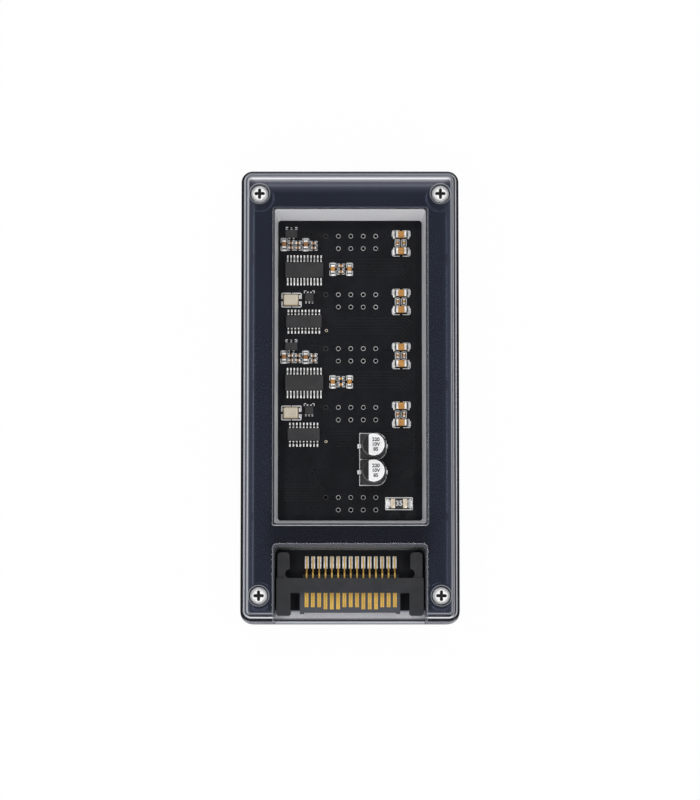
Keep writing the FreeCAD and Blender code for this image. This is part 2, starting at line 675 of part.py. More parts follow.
def save_chip_parts(body_node, cap_node, parts):
    """Several chip components as two nodes: the ceramic bodies and the metal end caps."""
    save(body_node, [body for body, caps in parts])
    save(cap_node, [cap for body, caps in parts for cap in caps])


def save_crystal(number, x, y):
    """A crystal: ceramic base and drawn metal lid."""
    a, b = CRYSTAL_LENGTH / 2, CRYSTAL_WIDTH / 2
    seat = BOARD_TOP + CRYSTAL_BASE_HEIGHT
    save(f"crystal_{number}_base", [slab(x - a, x + a, y - b, y + b, CRYSTAL_RADIUS, BOARD_TOP, seat)])
    ends = []
    for draft, lift in ((0, 0), (CRYSTAL_LID_DRAFT, CRYSTAL_LID_HEIGHT)):
        half_x, half_y = a - CRYSTAL_LID_INSET - draft, b - CRYSTAL_LID_INSET - draft
        ends.append((x - half_x, x + half_x, y - half_y, y + half_y, CRYSTAL_RADIUS, seat + lift))
    save(f"crystal_{number}_lid", [taper(*ends)])


def can_form(x, y):
    """The drawn can: rounded top edge and a rolled crimp near its foot."""
    radius = CAN_DIAMETER / 2
    low = BOARD_TOP + CAN_BASE_HEIGHT
    high = low + CAN_HEIGHT
    crimp_low = low + CAN_CRIMP_HEIGHT
    crimp_high = crimp_low + CAN_CRIMP_LENGTH
    crown = FreeCAD.Vector(0, 0, high)
    shoulder = FreeCAD.Vector(radius, 0, high - CAN_ROUND)
    lean = CAN_ROUND * ARC_LEAN
    bend = FreeCAD.Vector(radius - lean, 0, high - lean)
    flat = FreeCAD.Vector(radius - CAN_ROUND, 0, high)
    side = [
        crown,
        FreeCAD.Vector(0, 0, low),
        FreeCAD.Vector(radius, 0, low),
        FreeCAD.Vector(radius, 0, crimp_low),
        FreeCAD.Vector(radius - CAN_CRIMP_DEPTH, 0, (crimp_low + crimp_high) / 2),
        FreeCAD.Vector(radius, 0, crimp_high),
        shoulder,
    ]
    section = Part.Wire([
        Part.makePolygon(side),
        Part.Arc(shoulder, bend, flat).toShape(),
        Part.makePolygon([flat, crown]),
    ])
    can = Part.Face(section).revolve(FreeCAD.Vector(0, 0, 0), FreeCAD.Vector(0, 0, 1), 360)
    can.translate(FreeCAD.Vector(x, y, 0))
    return can


def save_can_capacitor(number, y):
    """A can capacitor: can, moulded base with two cut corners, and two tabs under it."""
    x = WINDOW_FOOT_SIDE - CAN_INSET
    half, cut = CAN_BASE_SIDE / 2, CAN_BASE_CHAMFER
    tab_top = BOARD_TOP + CAN_TAB_THICKNESS
    lower_half = [(-half, -half), (half - cut, -half), (half, -half + cut)]
    ring = lower_half + [(px, -py) for px, py in reversed(lower_half)]
    points = [FreeCAD.Vector(x + px, y + py, BOARD_TOP) for px, py in ring + ring[:1]]
    base = Part.Face(Part.makePolygon(points)).extrude(FreeCAD.Vector(0, 0, CAN_BASE_HEIGHT))
    tabs = []
    for side in (-1, 1):
        ends = sorted((side * (half + CAN_TAB_REACH), side * half / 2))
        low, high = y - CAN_TAB_WIDTH / 2, y + CAN_TAB_WIDTH / 2
        tabs.append(block(x + ends[0], x + ends[1], low, high, BOARD_TOP, tab_top))
    save(f"can_capacitor_{number}_can", [can_form(x, y)])
    save(f"can_capacitor_{number}_base", [base.cut(Part.makeCompound(tabs))])
    save(f"can_capacitor_{number}_tabs", tabs)


def save_channel(number, y):
    """One of the two like groups of chips on the left of the board."""
    hub_length = (HUB_LEAD_COUNT - 1) * HUB_LEAD_PITCH + 2 * CHIP_MARGIN
    driver_count = DRIVER_LEAD_COUNT[number - 1]
    driver_length = (driver_count - 1) * DRIVER_LEAD_PITCH + 2 * CHIP_MARGIN

    def at(place):
        return place[0] - WINDOW_FOOT_SIDE, y + place[1]

    bend = (LEAD_SHOULDER, LEAD_FOOT)
    small_bend = (SMALL_LEAD_SHOULDER, SMALL_LEAD_FOOT)
    save_chip(f"hub_chip_{number}", at(HUB_CHIP_PLACE), hub_length, HUB_BODY_WIDTH, HUB_SPAN, HUB_HEIGHT,
              HUB_LEAD_PITCH, (HUB_LEAD_COUNT, HUB_LEAD_COUNT), bend)
    save_chip(f"driver_chip_{number}", at(DRIVER_CHIP_PLACE), driver_length, DRIVER_BODY_WIDTH, DRIVER_SPAN,
              DRIVER_HEIGHT, DRIVER_LEAD_PITCH, (driver_count, driver_count), bend)
    save_chip(f"regulator_{number}", at(REGULATOR_PLACE), REGULATOR_LENGTH, REGULATOR_WIDTH, REGULATOR_SPAN,
              REGULATOR_HEIGHT, REGULATOR_LEAD_PITCH, REGULATOR_LEAD_COUNT, small_bend)
    save_chip(f"small_chip_{number}", at(SMALL_CHIP_PLACE), SMALL_CHIP_LENGTH, SMALL_CHIP_WIDTH,
              SMALL_CHIP_SPAN, SMALL_CHIP_HEIGHT, SMALL_CHIP_LEAD_PITCH, SMALL_CHIP_LEAD_COUNT, small_bend)
    save_crystal(number, *at(CRYSTAL_PLACE))
    parts = [chip_part(*at(place), SMALL_CAP, False) for place in LOGIC_CAPS + HUB_CAPS]
    parts += [chip_part(*at(place), MEDIUM_CAP, True) for place in LOGIC_MEDIUM_CAPS + HUB_MEDIUM_CAPS]
    save_chip_parts(f"channel_capacitors_{number}", f"channel_capacitor_ends_{number}", parts)


def save_port(number, y):
    """One port's pin header under the board, and its capacitors on top."""
    save(f"port_header_{number}_body", [header_body(y)])
    save(f"port_header_{number}_pins", [header_pin(px, py) for px, py in pin_places(y)])
    x = WINDOW_FOOT_SIDE - PORT_CAP_INSET
    cap_y = y - PORT_CAP_DROP
    parts = [chip_part(x, cap_y + side * PORT_CAP_STEP, LARGE_CAP, False) for side in (1, -1)]
    parts += [chip_part(WINDOW_FOOT_SIDE - inset, cap_y, SMALL_CAP, True) for inset in PORT_SMALL_CAP_INSETS]
    save_chip_parts(f"port_capacitors_{number}", f"port_capacitor_ends_{number}", parts)


def main():
    os.makedirs("parts", exist_ok=True)
    save("clear_cover", [clear_cover()])
    save("base_shell", [base_shell()])
    save("cover_screws", [cover_screw(x, y) for x, y in SCREW_PLACES])
    save("circuit_board", [circuit_board()])
    save("power_inlet_housing", [inlet_housing()])
    save("power_inlet_contacts", [inlet_contact(n, CONTACT_PLACES[n]) for n in range(CONTACT_COUNT)])
    for number, y in enumerate(CHANNEL_Y, 1):
        save_channel(number, y)
    for number, y in enumerate(PORT_Y, 1):
        save_port(number, y)
    save("upstream_header_body", [header_body(HEADER_Y[-1])])
    save("upstream_header_pins", [header_pin(px, py) for px, py in pin_places(HEADER_Y[-1])])
    for number, rise in enumerate(CAN_RISES, 1):
        save_can_capacitor(number, WINDOW_FOOT_BOTTOM + rise)
    fuse_x, fuse_y = WINDOW_FOOT_SIDE - FUSE_INSET, WINDOW_FOOT_BOTTOM + FUSE_RISE
    fuse, fuse_ends = chip_part(fuse_x, fuse_y, FUSE_SIZE, False)
    save("fuse_body", [fuse])
    save("fuse_ends", fuse_ends)


main()
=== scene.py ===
import json
import math

import bmesh
import bpy
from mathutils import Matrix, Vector


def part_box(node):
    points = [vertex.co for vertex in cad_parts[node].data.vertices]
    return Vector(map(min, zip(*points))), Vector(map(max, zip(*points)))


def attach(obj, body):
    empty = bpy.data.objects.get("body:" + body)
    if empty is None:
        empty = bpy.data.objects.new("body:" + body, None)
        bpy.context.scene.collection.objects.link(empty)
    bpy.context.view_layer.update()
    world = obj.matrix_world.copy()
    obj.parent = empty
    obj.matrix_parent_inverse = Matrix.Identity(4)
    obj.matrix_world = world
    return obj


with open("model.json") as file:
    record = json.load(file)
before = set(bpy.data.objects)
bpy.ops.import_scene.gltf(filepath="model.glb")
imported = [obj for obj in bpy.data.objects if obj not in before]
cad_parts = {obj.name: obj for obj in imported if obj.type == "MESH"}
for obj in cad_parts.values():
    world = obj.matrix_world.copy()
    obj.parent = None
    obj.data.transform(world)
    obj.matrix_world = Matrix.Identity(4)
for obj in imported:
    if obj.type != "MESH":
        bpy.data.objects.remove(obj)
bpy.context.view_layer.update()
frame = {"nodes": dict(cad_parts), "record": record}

# Looks of the hub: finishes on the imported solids, and the solder, plating, print and tracks on its board.
# Metres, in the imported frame: +X across the case, +Y away from the power inlet, +Z out of the windowed face.
SCENE = bpy.context.scene
MM = 0.001
BODY = "root"
CHANNELS = (1, 2)
PORTS = (1, 2, 3, 4)
CHIPS = ("hub_chip", "driver_chip", "regulator", "small_chip")
BOARD_LOW, BOARD_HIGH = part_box("circuit_board")
BOARD_TOP = BOARD_HIGH.z
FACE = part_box("clear_cover")[1].z
SAME_SPOT = 1e-6
ROW_DIGITS = 5

# Camera: the photographed view, nearly square on to the face
CAMERA_DISTANCE = 650 * MM
CAMERA_TILT = math.radians(5.3)
CAMERA_LENS = 145.4
CAMERA_NEAR = 10 * MM
SENSOR_HEIGHT = 36.0
AIM_DROP = 1.065 * MM

# Studio: floor, room and soft boxes, each box with its place, width, height and power in watts
WHITE = (1.0, 1.0, 1.0, 1.0)
FLOOR_SIZE = 6.0
FLOOR_SINK = 0.05 * MM
FLOOR_COLOUR = (0.86, 0.86, 0.86, 1.0)
FLOOR_GLOW = 0.975
FLOOR_THROUGH_CASE = 0.6
ROOM_LIGHT = 0.45
ZENITH_LIGHT = 0.14
CEILING_RISE = (0.35, 0.9)
LAMPS = (
    ((-0.68, 0.0, 0.34), 0.7, 0.32, 1.3),
    ((0.68, 0.0, 0.34), 0.7, 0.32, 1.3),
    ((0.0, -0.7, 0.4), 0.9, 0.46, 2.4),
    ((0.0, 0.7, 0.36), 0.8, 0.32, 1.2),
    ((-0.26, 0.0, 0.8), 0.8, 0.07, 1.0),
    ((0.26, 0.0, 0.8), 0.8, 0.07, 1.0),
    ((0.0, -0.26, 0.8), 0.8, 0.07, 1.0),
    ((0.0, 0.4, 0.8), 0.8, 0.07, 1.1),
)

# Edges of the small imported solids, in millimetres, and shading of the added pieces
EDGE_ROUNDS = {
    "chip_black": 0.05, "tinned_metal": 0.04, "capacitor_ceramic": 0.05, "crystal_metal": 0.09,
    "crystal_ceramic": 0.04, "fuse_metal": 0.06, "inlet_plastic": 0.09, "header_plastic": 0.08,
}
ROUND_ANGLE = math.radians(35)
ROUND_SEGMENTS = 2
SHARP_ANGLE = math.radians(40)
SOLDER_SHARP_ANGLE = math.radians(70)

# Plated and bare holes, vias and test pads: places, and turned sections as radii and heights, in millimetres
PLATED_RING = (
    (0.47, 0.0), (0.44, 0.035), (0.4075, 0.05), (0.385, 0.03), (0.345, -0.05), (0.345, -0.45),
    (0.405, -0.45), (0.405, 0.0),
)
BARE_RIM = ((0.47, 0.0), (0.44, 0.024), (0.385, 0.012), (0.385, 0.0))
VIA_RIM = ((0.31, 0.0), (0.27, 0.024), (0.2, 0.012), (0.2, 0.0))
TEST_PAD = ((0.3008, 0.0), (0.2726, 0.05), (0.2, 0.04), (0.2, 0.0))
TURN_STEPS = 28
VIA_STEPS = 18
RING_BORE = 0.345 * MM
HOLE_RADIUS = 0.375 * MM
VIA_BORE = 0.2 * MM
COLUMN_ROOM = 0.5 * MM
# Painted shade: a near-black disc down in each header hole, below the board's top, which hides the pin tail
HOLE_SHADE_DROP = 0.3 * MM
HOLE_SHADE_HEIGHT = 0.08 * MM
HOLE_SHADE_STEPS = 6
VIA_PLACES = (
    (-9.0, 33.7), (-7.8, 33.6), (7.0, 33.2), (-6.1, 30.6), (4.0, 27.3), (11.2, 27.0), (1.5, 26.3),
    (5.2, 16.6), (-0.9, 16.3), (-4.8, 15.4), (-7.8, 11.1), (-6.5, 11.1), (-6.5, 10.4), (-4.9, 18.5),
    (-2.5, -9.4), (13.3, -7.9), (12.5, -9.3), (14.3, -9.3), (12.5, -10.3), (10.6, -15.1), (-11.3, -12.9),
    (-8.7, -12.9), (-6.4, -13.1), (-11.5, -14.2), (-7.2, -14.5), (-7.6, -15.3), (-4.9, -14.4),
    (-12.9, -16.5), (-11.4, -16.4), (-8.7, -16.3), (-6.4, -16.3), (-13.1, -19.6), (-13.1, -21.3),
    (-6.4, -22.4), (-7.8, -22.3),
)
TEST_PAD_PLACES = ((-4.8, 13.8), (-4.9, -8.9))

# Solder fillets: reach past the end, half width and height in millimetres, then the shares that shape them
LARGE_SOLDER = (0.66, 0.95, 0.75)
MEDIUM_SOLDER = (0.55, 0.55, 0.5)
SMALL_SOLDER = (0.2, 0.33, 0.3)
FUSE_SOLDER = (1.05, 1.0, 0.5)
LARGE_END = 1.0 * MM
MEDIUM_END = 0.7 * MM
FILLET_ROWS = 7
FILLET_COLUMNS = 6
FILLET_FOOT = 0.04 * MM
FILLET_RIM = 0.4
FILLET_SAG = 2.2
FILLET_HEEL = 0.82
FILLET_FULL = 0.35
FILLET_TOE = 0.45
FILLET_TOE_ROUND = 0.8
FILLET_TOE_DROP = 0.6
FILLET_TIP = 0.02

# Solder pads: shares that shape the crown, then each kind's sizes, with its corner radius and height
PILLOW_LEVELS = ((0, 0), (0, 0.35), (0.12, 0.7), (0.35, 0.92), (0.7, 1.0))
LEAD_PAD_SIDE = 0.005 * MM
LEAD_PAD_TOE = 0.03 * MM
LEAD_PAD_LENGTH = 0.85 * MM
LEAD_PAD_SHARE = 0.8
LEAD_PAD = (0.1 * MM, 0.07 * MM)
TAIL_PAD_HALF = 0.42 * MM
TAIL_PAD_LENGTH = 2.5 * MM
TAIL_PAD_TOE = 0.06 * MM
TAIL_PAD = (0.15 * MM, 0.09 * MM)
TAB_PAD_TOES = {1: 0.08 * MM, -1: 0.46 * MM}
TAB_PAD_HEEL = 0.35 * MM
TAB_PAD_SIDE = 0.13 * MM
TAB_PAD = (0.1 * MM, 0.27 * MM)
CRYSTAL_PAD_INSET = 0.62 * MM
CRYSTAL_PAD_REACH = 0.38 * MM
CRYSTAL_PAD_HALF = 0.4 * MM
CRYSTAL_PAD = (0.08 * MM, 0.12 * MM)

# Print on the board
MASK_LAYER = 0.012 * MM
PRINT_LAYER = 0.02 * MM
MITRE_LIMIT = 0.4
CORNER_STEPS = 4
ALL_CORNERS = ((1, 1), (-1, 1), (-1, -1), (1, -1))
TOP_CORNERS = ALL_CORNERS[:2]
CRYSTAL_PRINT_SHIFT = Vector((0.12 * MM, 0, 0))
TALL_CAPACITOR = 0.6 * MM
NEARLY_SQUARE = 0.9
CAN_PRINT_WIDTH = 0.17 * MM
CAN_PRINT_GAP = 0.145 * MM
CAN_PRINT_LEFT = 2 * CAN_PRINT_GAP
CAN_PRINT_RIGHT = CAN_PRINT_GAP / 3
CAN_PRINT_RADIUS = 1.9 * MM
CAN_PRINT_STEPS = 8

# Printed corner marks, in millimetres: margins round a part, gaps on its sides, line width and corner radius
CRYSTAL_MARK = (0.36, 0.16, 0.1, 0.25, 0.2, 0.2)
REGULATOR_MARK = (1.12, 1.44, 0.7, 0.94, 0.13, 0.06)
SMALL_CHIP_MARK = (1.02, 1.38, 0.6, 0.88, 0.13, 0.06)
UPRIGHT_MARK = (0.2, 0.85, 0.5, 0.28, 0.13, 0.18)
LEVEL_MARK = (0.55, 0.2, 0.2, 0.4, 0.13, 0.15)
LARGE_MARKS = {1: (1.2, 0.24, 0.3, -0.3, 0.13, 0.4), -1: (1.2, 0.34, 0.3, -0.3, 0.13, 0.4)}
MEDIUM_MARK = (0.22, 0.52, 0.0, 0.0, 0.13, 0.2)
FUSE_MARK = (1.04, 0.25, 0.0, 0.12, 0.2, 0.1)

# Figures on the cans and the fuse
CAN_FIGURES = ("220", "10V", "85")
CAN_FIGURE_HEIGHT = 0.72 * MM
CAN_FIGURE_PITCH = 0.98 * MM
CAN_FIGURE_SHIFT = 0.45 * MM
FUSE_FIGURES = "35"
FUSE_FIGURE_HEIGHT = 1.05 * MM
FIGURE_LIFT = 0.006 * MM
FIGURE_BOLD = 0.035 * MM
FIGURE_SMOOTHNESS = 3
CAPITAL_SHARE = 0.72

# Faint tracks, in millimetres: how many, then each bend's level, X, Y and their steps from track to track
TRACK_WIDTH = 0.17 * MM
HEADER_TRACKS = (
    (6, (("low", -4.2, -1.0, 0.3, -0.62), ("low", 11.6, -1.0, -0.35, -0.62),
         ("low", 12.7, -2.1, -0.35, -0.62))),
    (4, (("high", -5.2, -0.6, -0.5, 0.0), ("high", -3.6, -2.2, -0.5, 0.0), ("low", -3.6, -0.4, -0.5, 0.0))),
)
BOARD_TRACKS = (
    (4, (("board", 13.0, 35.2, 0.42, 0.0), ("board", 13.0, -13.5, 0.42, -0.17),
         ("board", 10.0, -16.5, 0.42, -0.17))),
    (7, (("board", -13.4, -17.6, 0.0, -0.55), ("board", -8.0, -17.6, 0.3, -0.55),
         ("board", -6.5, -16.1, 0.3, -0.55))),
)
PATCH_SIDES = (7.6, 11.0)
PATCH_OUTLINE = ((0.0, -24.5), (2.6, -24.5), (2.2, -22.9), (0.9, -22.9))

# Outlines on the cover's face
FACE_HALF = (21.95 * MM, 45.575 * MM)
CORNER_RADIUS = 2.2 * MM
WINDOW_TOP = 38.175 * MM
WINDOW_BOTTOM = -26.375 * MM
WINDOW_MIDDLE = (WINDOW_TOP + WINDOW_BOTTOM) / 2
NOTCH_TOP = -29.735 * MM
NOTCH_RUN = 20 * MM
NOTCH_CORNER = 1.05 * MM
RIM_HALF = 15.75 * MM
RIM_CORNER = 0.6 * MM
SILL_FRONT = -45.805 * MM
SILL_SIDE = 15.2 * MM
SILL_LEVEL = 10.75 * MM
SILL_ROOM = 0.4 * MM
PARTING = 8.7 * MM

# Painted light and shade along those outlines: how deep it shows, how it turns corners and how blue it is
EDGE_DEPTH = 1.6 * MM
RIM_DEPTH = 1.2 * MM
WALL_INSET = 0.06 * MM
CORNER_BLEND = 0.9 * MM
EDGE_BLUE = 0.045
EDGE_BLUE_SHARE = 0.6
EDGE_GREEN = 0.2

# Painted highlight lines and painted shade, a stop or two for each line, gap or fade: millimetres inside the
# outline, tone and share
LEFT_EDGE = (
    (-0.3, 0.008, 0.8), (0.0, 0.008, 0.9), (0.45, 0.008, 0.9), (0.7, 0.62, 0.8), (0.9, 0.1, 0.75),
    (1.15, 0.1, 0.75), (1.35, 0.62, 0.8), (1.65, 0.06, 0.6), (2.3, 0.05, 0.4), (2.5, 0.12, 0.45),
    (2.7, 0.05, 0.25), (3.2, 0.03, 0.0),
)
RIGHT_EDGE = (
    (-0.3, 0.008, 0.8), (0.0, 0.008, 0.9), (0.4, 0.008, 0.9), (0.55, 0.6, 0.8), (0.75, 0.03, 0.9),
    (0.95, 0.005, 0.9), (1.1, 0.45, 0.75), (1.3, 0.02, 0.8), (1.5, 0.42, 0.75), (1.7, 0.06, 0.6),
    (2.5, 0.04, 0.4), (3.4, 0.03, 0.0),
)
TOP_EDGE = (
    (-0.3, 0.01, 0.8), (0.25, 0.02, 0.9), (0.75, 0.3, 0.8), (1.0, 0.15, 0.8), (1.35, 0.4, 0.8),
    (1.55, 0.95, 0.9), (1.65, 0.9, 0.9), (1.85, 0.4, 0.8), (2.5, 0.1, 0.6), (3.0, 0.18, 0.6),
    (3.4, 0.09, 0.45), (4.8, 0.04, 0.0),
)
BOTTOM_EDGE = (
    (-0.3, 0.08, 0.6), (0.05, 0.15, 0.6), (0.15, 0.008, 0.9), (0.55, 0.008, 0.9), (0.85, 0.95, 0.9),
    (1.0, 0.02, 0.9), (1.35, 0.03, 0.75), (1.65, 0.4, 0.75), (1.85, 0.05, 0.6), (2.7, 0.03, 0.0),
)
WINDOW_LEFT_RIM = (
    (-0.1, 0.005, 0.0), (-0.05, 0.005, 0.6), (0.05, 0.005, 0.6), (0.18, 0.28, 0.6), (0.3, 0.01, 0.85),
    (0.5, 0.01, 0.85), (0.6, 0.03, 0.0),
)
WINDOW_RIGHT_RIM = (
    (-0.2, 0.03, 0.0), (-0.1, 0.3, 0.33), (0.08, 0.3, 0.33), (0.2, 0.02, 0.65), (0.4, 0.02, 0.65),
    (0.5, 0.03, 0.0),
)
WINDOW_TOP_RIM = (
    (-0.1, 0.03, 0.0), (0.0, 0.16, 0.4), (0.1, 0.16, 0.4), (0.2, 0.01, 0.85), (0.32, 0.01, 0.85),
    (0.37, 0.03, 0.0),
)
WINDOW_LOW_RIM = (
    (-0.05, 0.03, 0.0), (0.02, 0.75, 0.55), (0.13, 0.75, 0.55), (0.2, 0.03, 0.75), (0.5, 0.03, 0.75),
    (0.55, 0.1, 0.0),
)
NOTCH_RIM = (
    (0.1, 0.02, 0.0), (0.17, 0.27, 0.5), (0.28, 0.27, 0.5), (0.36, 0.09, 0.55), (0.6, 0.09, 0.45),
    (0.7, 0.1, 0.0),
)
# Painted shade on the cover inside each screw's bore, then a painted highlight ring at the bore's edge
SCREW_RING = (
    (0.0, 0.03, 0.8), (1.9, 0.03, 0.8), (2.0, 0.4, 0.5), (2.09, 0.4, 0.5), (2.22, 0.06, 0.15),
    (2.5, 0.03, 0.0),
)
# Painted light and shade across the sill's front: a pale front, a painted highlight on its ridge, a painted
# dark line, then a paler band
SILL_EDGE = (
    (-0.1, 0.3, 0.85), (0.05, 0.3, 0.85), (0.25, 0.62, 0.85), (0.45, 0.3, 0.85), (0.6, 0.02, 0.9),
    (0.7, 0.02, 0.9), (1.05, 0.2, 0.8), (1.2, 0.4, 0.0),
)

# Clear plastic: its polish, its smoke and its haze, which is thinner on the bar between window and notch
CLEAR_TINT = (0.93, 0.95, 0.98, 1.0)
CLEAR_INDEX = 1.57
CLEAR_ROUGHNESS = (0.015, 0.045)
CLEAR_BLOTCH = 6 * MM
SMOKE_COLOUR = (0.34, 0.38, 0.5, 1.0)
SMOKE_DENSITY = 900.0
HAZE = 0.068
HAZE_DARK = (0.16, 0.2, 0.34)
HAZE_LIGHT = (0.21, 0.26, 0.42)
HAZE_BLOTCH = 9 * MM
BAR_HAZE = 0.03
BAR_MIDDLE = (NOTCH_TOP + WINDOW_BOTTOM) / 2
BAR_SIDE = (14.0 * MM, 18.5 * MM)
BAR_END = (1.7 * MM, 6.0 * MM)

# Satin rim walls of the window and the notch: limits inside which the cover has only them and the sill
WALL_SIDE = 15.32 * MM
WINDOW_LOW = -25.945 * MM
WINDOW_HIGH = 37.8 * MM
NOTCH_LOW = -45.0 * MM
NOTCH_HIGH = -30.165 * MM
RIM_ROUND = 0.25 * MM
RIM_SOFT = 0.07 * MM
SILL_FADE = (SILL_LEVEL + 0.3 * MM, SILL_LEVEL + 0.6 * MM)
FULL_SATIN = 0.92
NOTCH_SATIN = 0.2
WALL_ROUGHNESS = 0.42
WALL_GRAIN = 0.3 * MM
WALL_DARK = (0.58, 0.58, 0.61)
WALL_LIGHT = (0.69, 0.69, 0.72)
# Painted light on the window's far end wall, which faces the front lamp: its pale tone, and the range of its
# facing over which that tone comes in
END_WALL_PAINTED_LIGHT = (0.85, 0.85, 0.87)
END_WALL_TURN = (-0.7, -0.4)

# Painted details of the other finishes, among them painted shade in the screws' cross recesses and painted
# light on the inlet's tongue
# Painted shade in each screw's cross recess: its reach, half width, softness, depth and tone
CROSS_REACH = 1.08 * MM
CROSS_HALF = 0.32 * MM
CROSS_SOFT = 0.03 * MM
CROSS_DEPTH = 1.2 * MM
CROSS_SHADE_TONE = (0.006, 0.006, 0.007)
BLADE_STRIPE_EDGE = (0.03 * MM, 0.14 * MM)
BLADE_STRIPE_SHARE = 0.45
BLADE_STRIPE_TONE = (0.26, 0.14, 0.03)
BLADE_LENGTH = 3.8 * MM
BLADE_ROOM = 5 * MM
CAN_SEGMENT = 0.98 * MM
CAN_PAINT_DEPTH = 0.3 * MM
CAN_PAINT_TONE = (0.008, 0.008, 0.009)
SMALL_CAPACITOR_SIDE = -5.5 * MM
SMALL_CAPACITOR_TONE = (0.26, 0.12, 0.035)
# Painted light on the inlet's tongue: its depth, side and room, and its paler tone
TONGUE_DEPTH = 3.27 * MM
TONGUE_SIDE = 10.2 * MM
TONGUE_ROOM = 2 * MM
TONGUE_PAINTED_LIGHT = (0.056, 0.061, 0.075)

# Grained finishes: dark and light tones, range of roughness, and what else differs from a plain finish
FINE_DETAIL = 2.0
SOFT_DETAIL = 3.0
TONE_DETAIL = 4.0
NOISE_LOW = 0.3
NOISE_HIGH = 0.7
RELIEF_STRENGTH = 0.5
FINISHES = {
    "screw_steel": ((0.82, 0.82, 0.82), (0.96, 0.96, 0.95), (0.26, 0.4),
                    dict(metallic=0.1, grain=0.12 * MM, relief=0.002 * MM, blotch=1.2 * MM)),
    "board_black": ((0.0036, 0.004, 0.006), (0.0065, 0.007, 0.0098), (0.3, 0.42),
                    dict(specular=0.14, grain=0.4 * MM, relief=0.003 * MM, blotch=5 * MM)),
    "inlet_plastic": ((0.013, 0.0135, 0.0165), (0.02, 0.0205, 0.0245), (0.45, 0.6), dict(specular=0.3)),
    "header_plastic": ((0.012, 0.012, 0.014), (0.02, 0.02, 0.022), (0.45, 0.6), {}),
    "contact_gold": ((0.64, 0.39, 0.08), (0.78, 0.49, 0.105), (0.26, 0.4),
                     dict(metallic=0.35, grain=0.15 * MM, relief=0.002 * MM)),
    "chip_black": ((0.019, 0.019, 0.0205), (0.028, 0.028, 0.03), (0.5, 0.68), dict(specular=0.32)),
    "tinned_metal": ((0.58, 0.58, 0.58), (0.9, 0.9, 0.89), (0.28, 0.45),
                     dict(metallic=0.4, blotch=0.7 * MM)),
    "crystal_ceramic": ((0.1, 0.09, 0.075), (0.16, 0.145, 0.12), (0.5, 0.65), {}),
    "crystal_metal": ((0.5, 0.44, 0.35), (0.6, 0.54, 0.44), (0.3, 0.42), dict(metallic=0.35)),
    "capacitor_ceramic": ((0.4, 0.18, 0.035), (0.52, 0.25, 0.05), (0.32, 0.48), dict(blotch=0.8 * MM)),
    "can_aluminium": ((0.78, 0.78, 0.79), (0.9, 0.9, 0.91), (0.3, 0.42),
                      dict(metallic=0.4, grain=0.2 * MM, relief=0.002 * MM)),
    "fuse_metal": ((0.62, 0.53, 0.4), (0.78, 0.69, 0.55), (0.3, 0.45), dict(metallic=0.55)),
    "print_white": ((0.62, 0.62, 0.63), (0.8, 0.8, 0.81), (0.5, 0.7), dict(grain=0.08 * MM)),
    "print_black": ((0.006, 0.006, 0.007), (0.012, 0.012, 0.013), (0.45, 0.6), {}),
    "track_mask": ((0.0085, 0.009, 0.011), (0.012, 0.0125, 0.0145), (0.3, 0.42), dict(specular=0.14)),
    "rim_mask": ((0.03, 0.029, 0.028), (0.045, 0.043, 0.041), (0.35, 0.5), {}),
    # Near black, for the painted shade in the header holes and the via bores
    "via_dark": ((0.001, 0.001, 0.001), (0.002, 0.002, 0.002), (0.6, 0.8), dict(specular=0.05)),
    "ring_tin": ((0.46, 0.46, 0.46), (0.6, 0.6, 0.59), (0.35, 0.5), dict(metallic=0.3)),
}

# Painted reflections where a surface leans away from straight up, dark on tinned metal and on the cans'
# rounded edges, a bright highlight on the crystal lids' edges: limits of its upward share, and the tone
SLOPE_REFLECTIONS = {
    "tinned_metal": ((0.55, 0.93), (0.13, 0.12, 0.115)),
    "crystal_metal": ((0.7, 0.98), (0.9, 0.72, 0.42)),
    "can_aluminium": ((0.3, 0.9), (0.2, 0.2, 0.21)),
}
MATERIALS = {}


def shells(bm):
    """The separate shells of a mesh, each as a list of its faces."""
    waiting = dict.fromkeys(bm.faces)
    while waiting:
        shell = [waiting.popitem()[0]]
        for face in shell:
            for edge in face.edges:
                for other in edge.link_faces:
                    if other in waiting:
                        del waiting[other]
                        shell.append(other)
        yield shell


def solids(node):
    """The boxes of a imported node's separate solids, from the far end of the board to the near one."""
    bm = bmesh.new()
    bm.from_mesh(frame["nodes"][node].data)
    bmesh.ops.remove_doubles(bm, verts=bm.verts, dist=SAME_SPOT)
    boxes = []
    for shell in shells(bm):
        points = [vertex.co for face in shell for vertex in face.verts]
        low = Vector([min(point[k] for point in points) for k in range(3)])
        high = Vector([max(point[k] for point in points) for k in range(3)])
        boxes.append((low, high))
    bm.free()
    boxes.sort(key=lambda box: [round(part, ROW_DIGITS) for part in (-box[0].y, box[0].x, box[0].z)])
    return boxes


def middle(box):
    return (box[0] + box[1]) / 2


def face_outward(bm):
    """Turn every closed shell of a mesh outward, by the sign of its volume."""
    bmesh.ops.recalc_face_normals(bm, faces=bm.faces)
    for shell in shells(bm):
        origin = shell[0].verts[0].co
        volume = 0.0
        for face in shell:
            corners = [vertex.co - origin for vertex in face.verts]
            for second, third in zip(corners[1:], corners[2:]):
                volume += corners[0].dot(second.cross(third))
        if volume < 0:
            bmesh.ops.reverse_faces(bm, faces=shell)


def join_hub(piece):
    """Put a finished piece on the hub's body."""
    SCENE.collection.objects.link(piece)
    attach(piece, BODY)


def add_piece(name, bm, material, sharp_angle=SHARP_ANGLE):
    """A mesh as a finished piece of the hub."""
    face_outward(bm)
    mesh = bpy.data.meshes.new(name)
    bm.to_mesh(mesh)
    bm.free()
    mesh.polygons.foreach_set("use_smooth", [True] * len(mesh.polygons))
    mesh.set_sharp_from_angle(angle=sharp_angle)
    mesh.materials.append(MATERIALS[material])
    join_hub(bpy.data.objects.new(name, mesh))


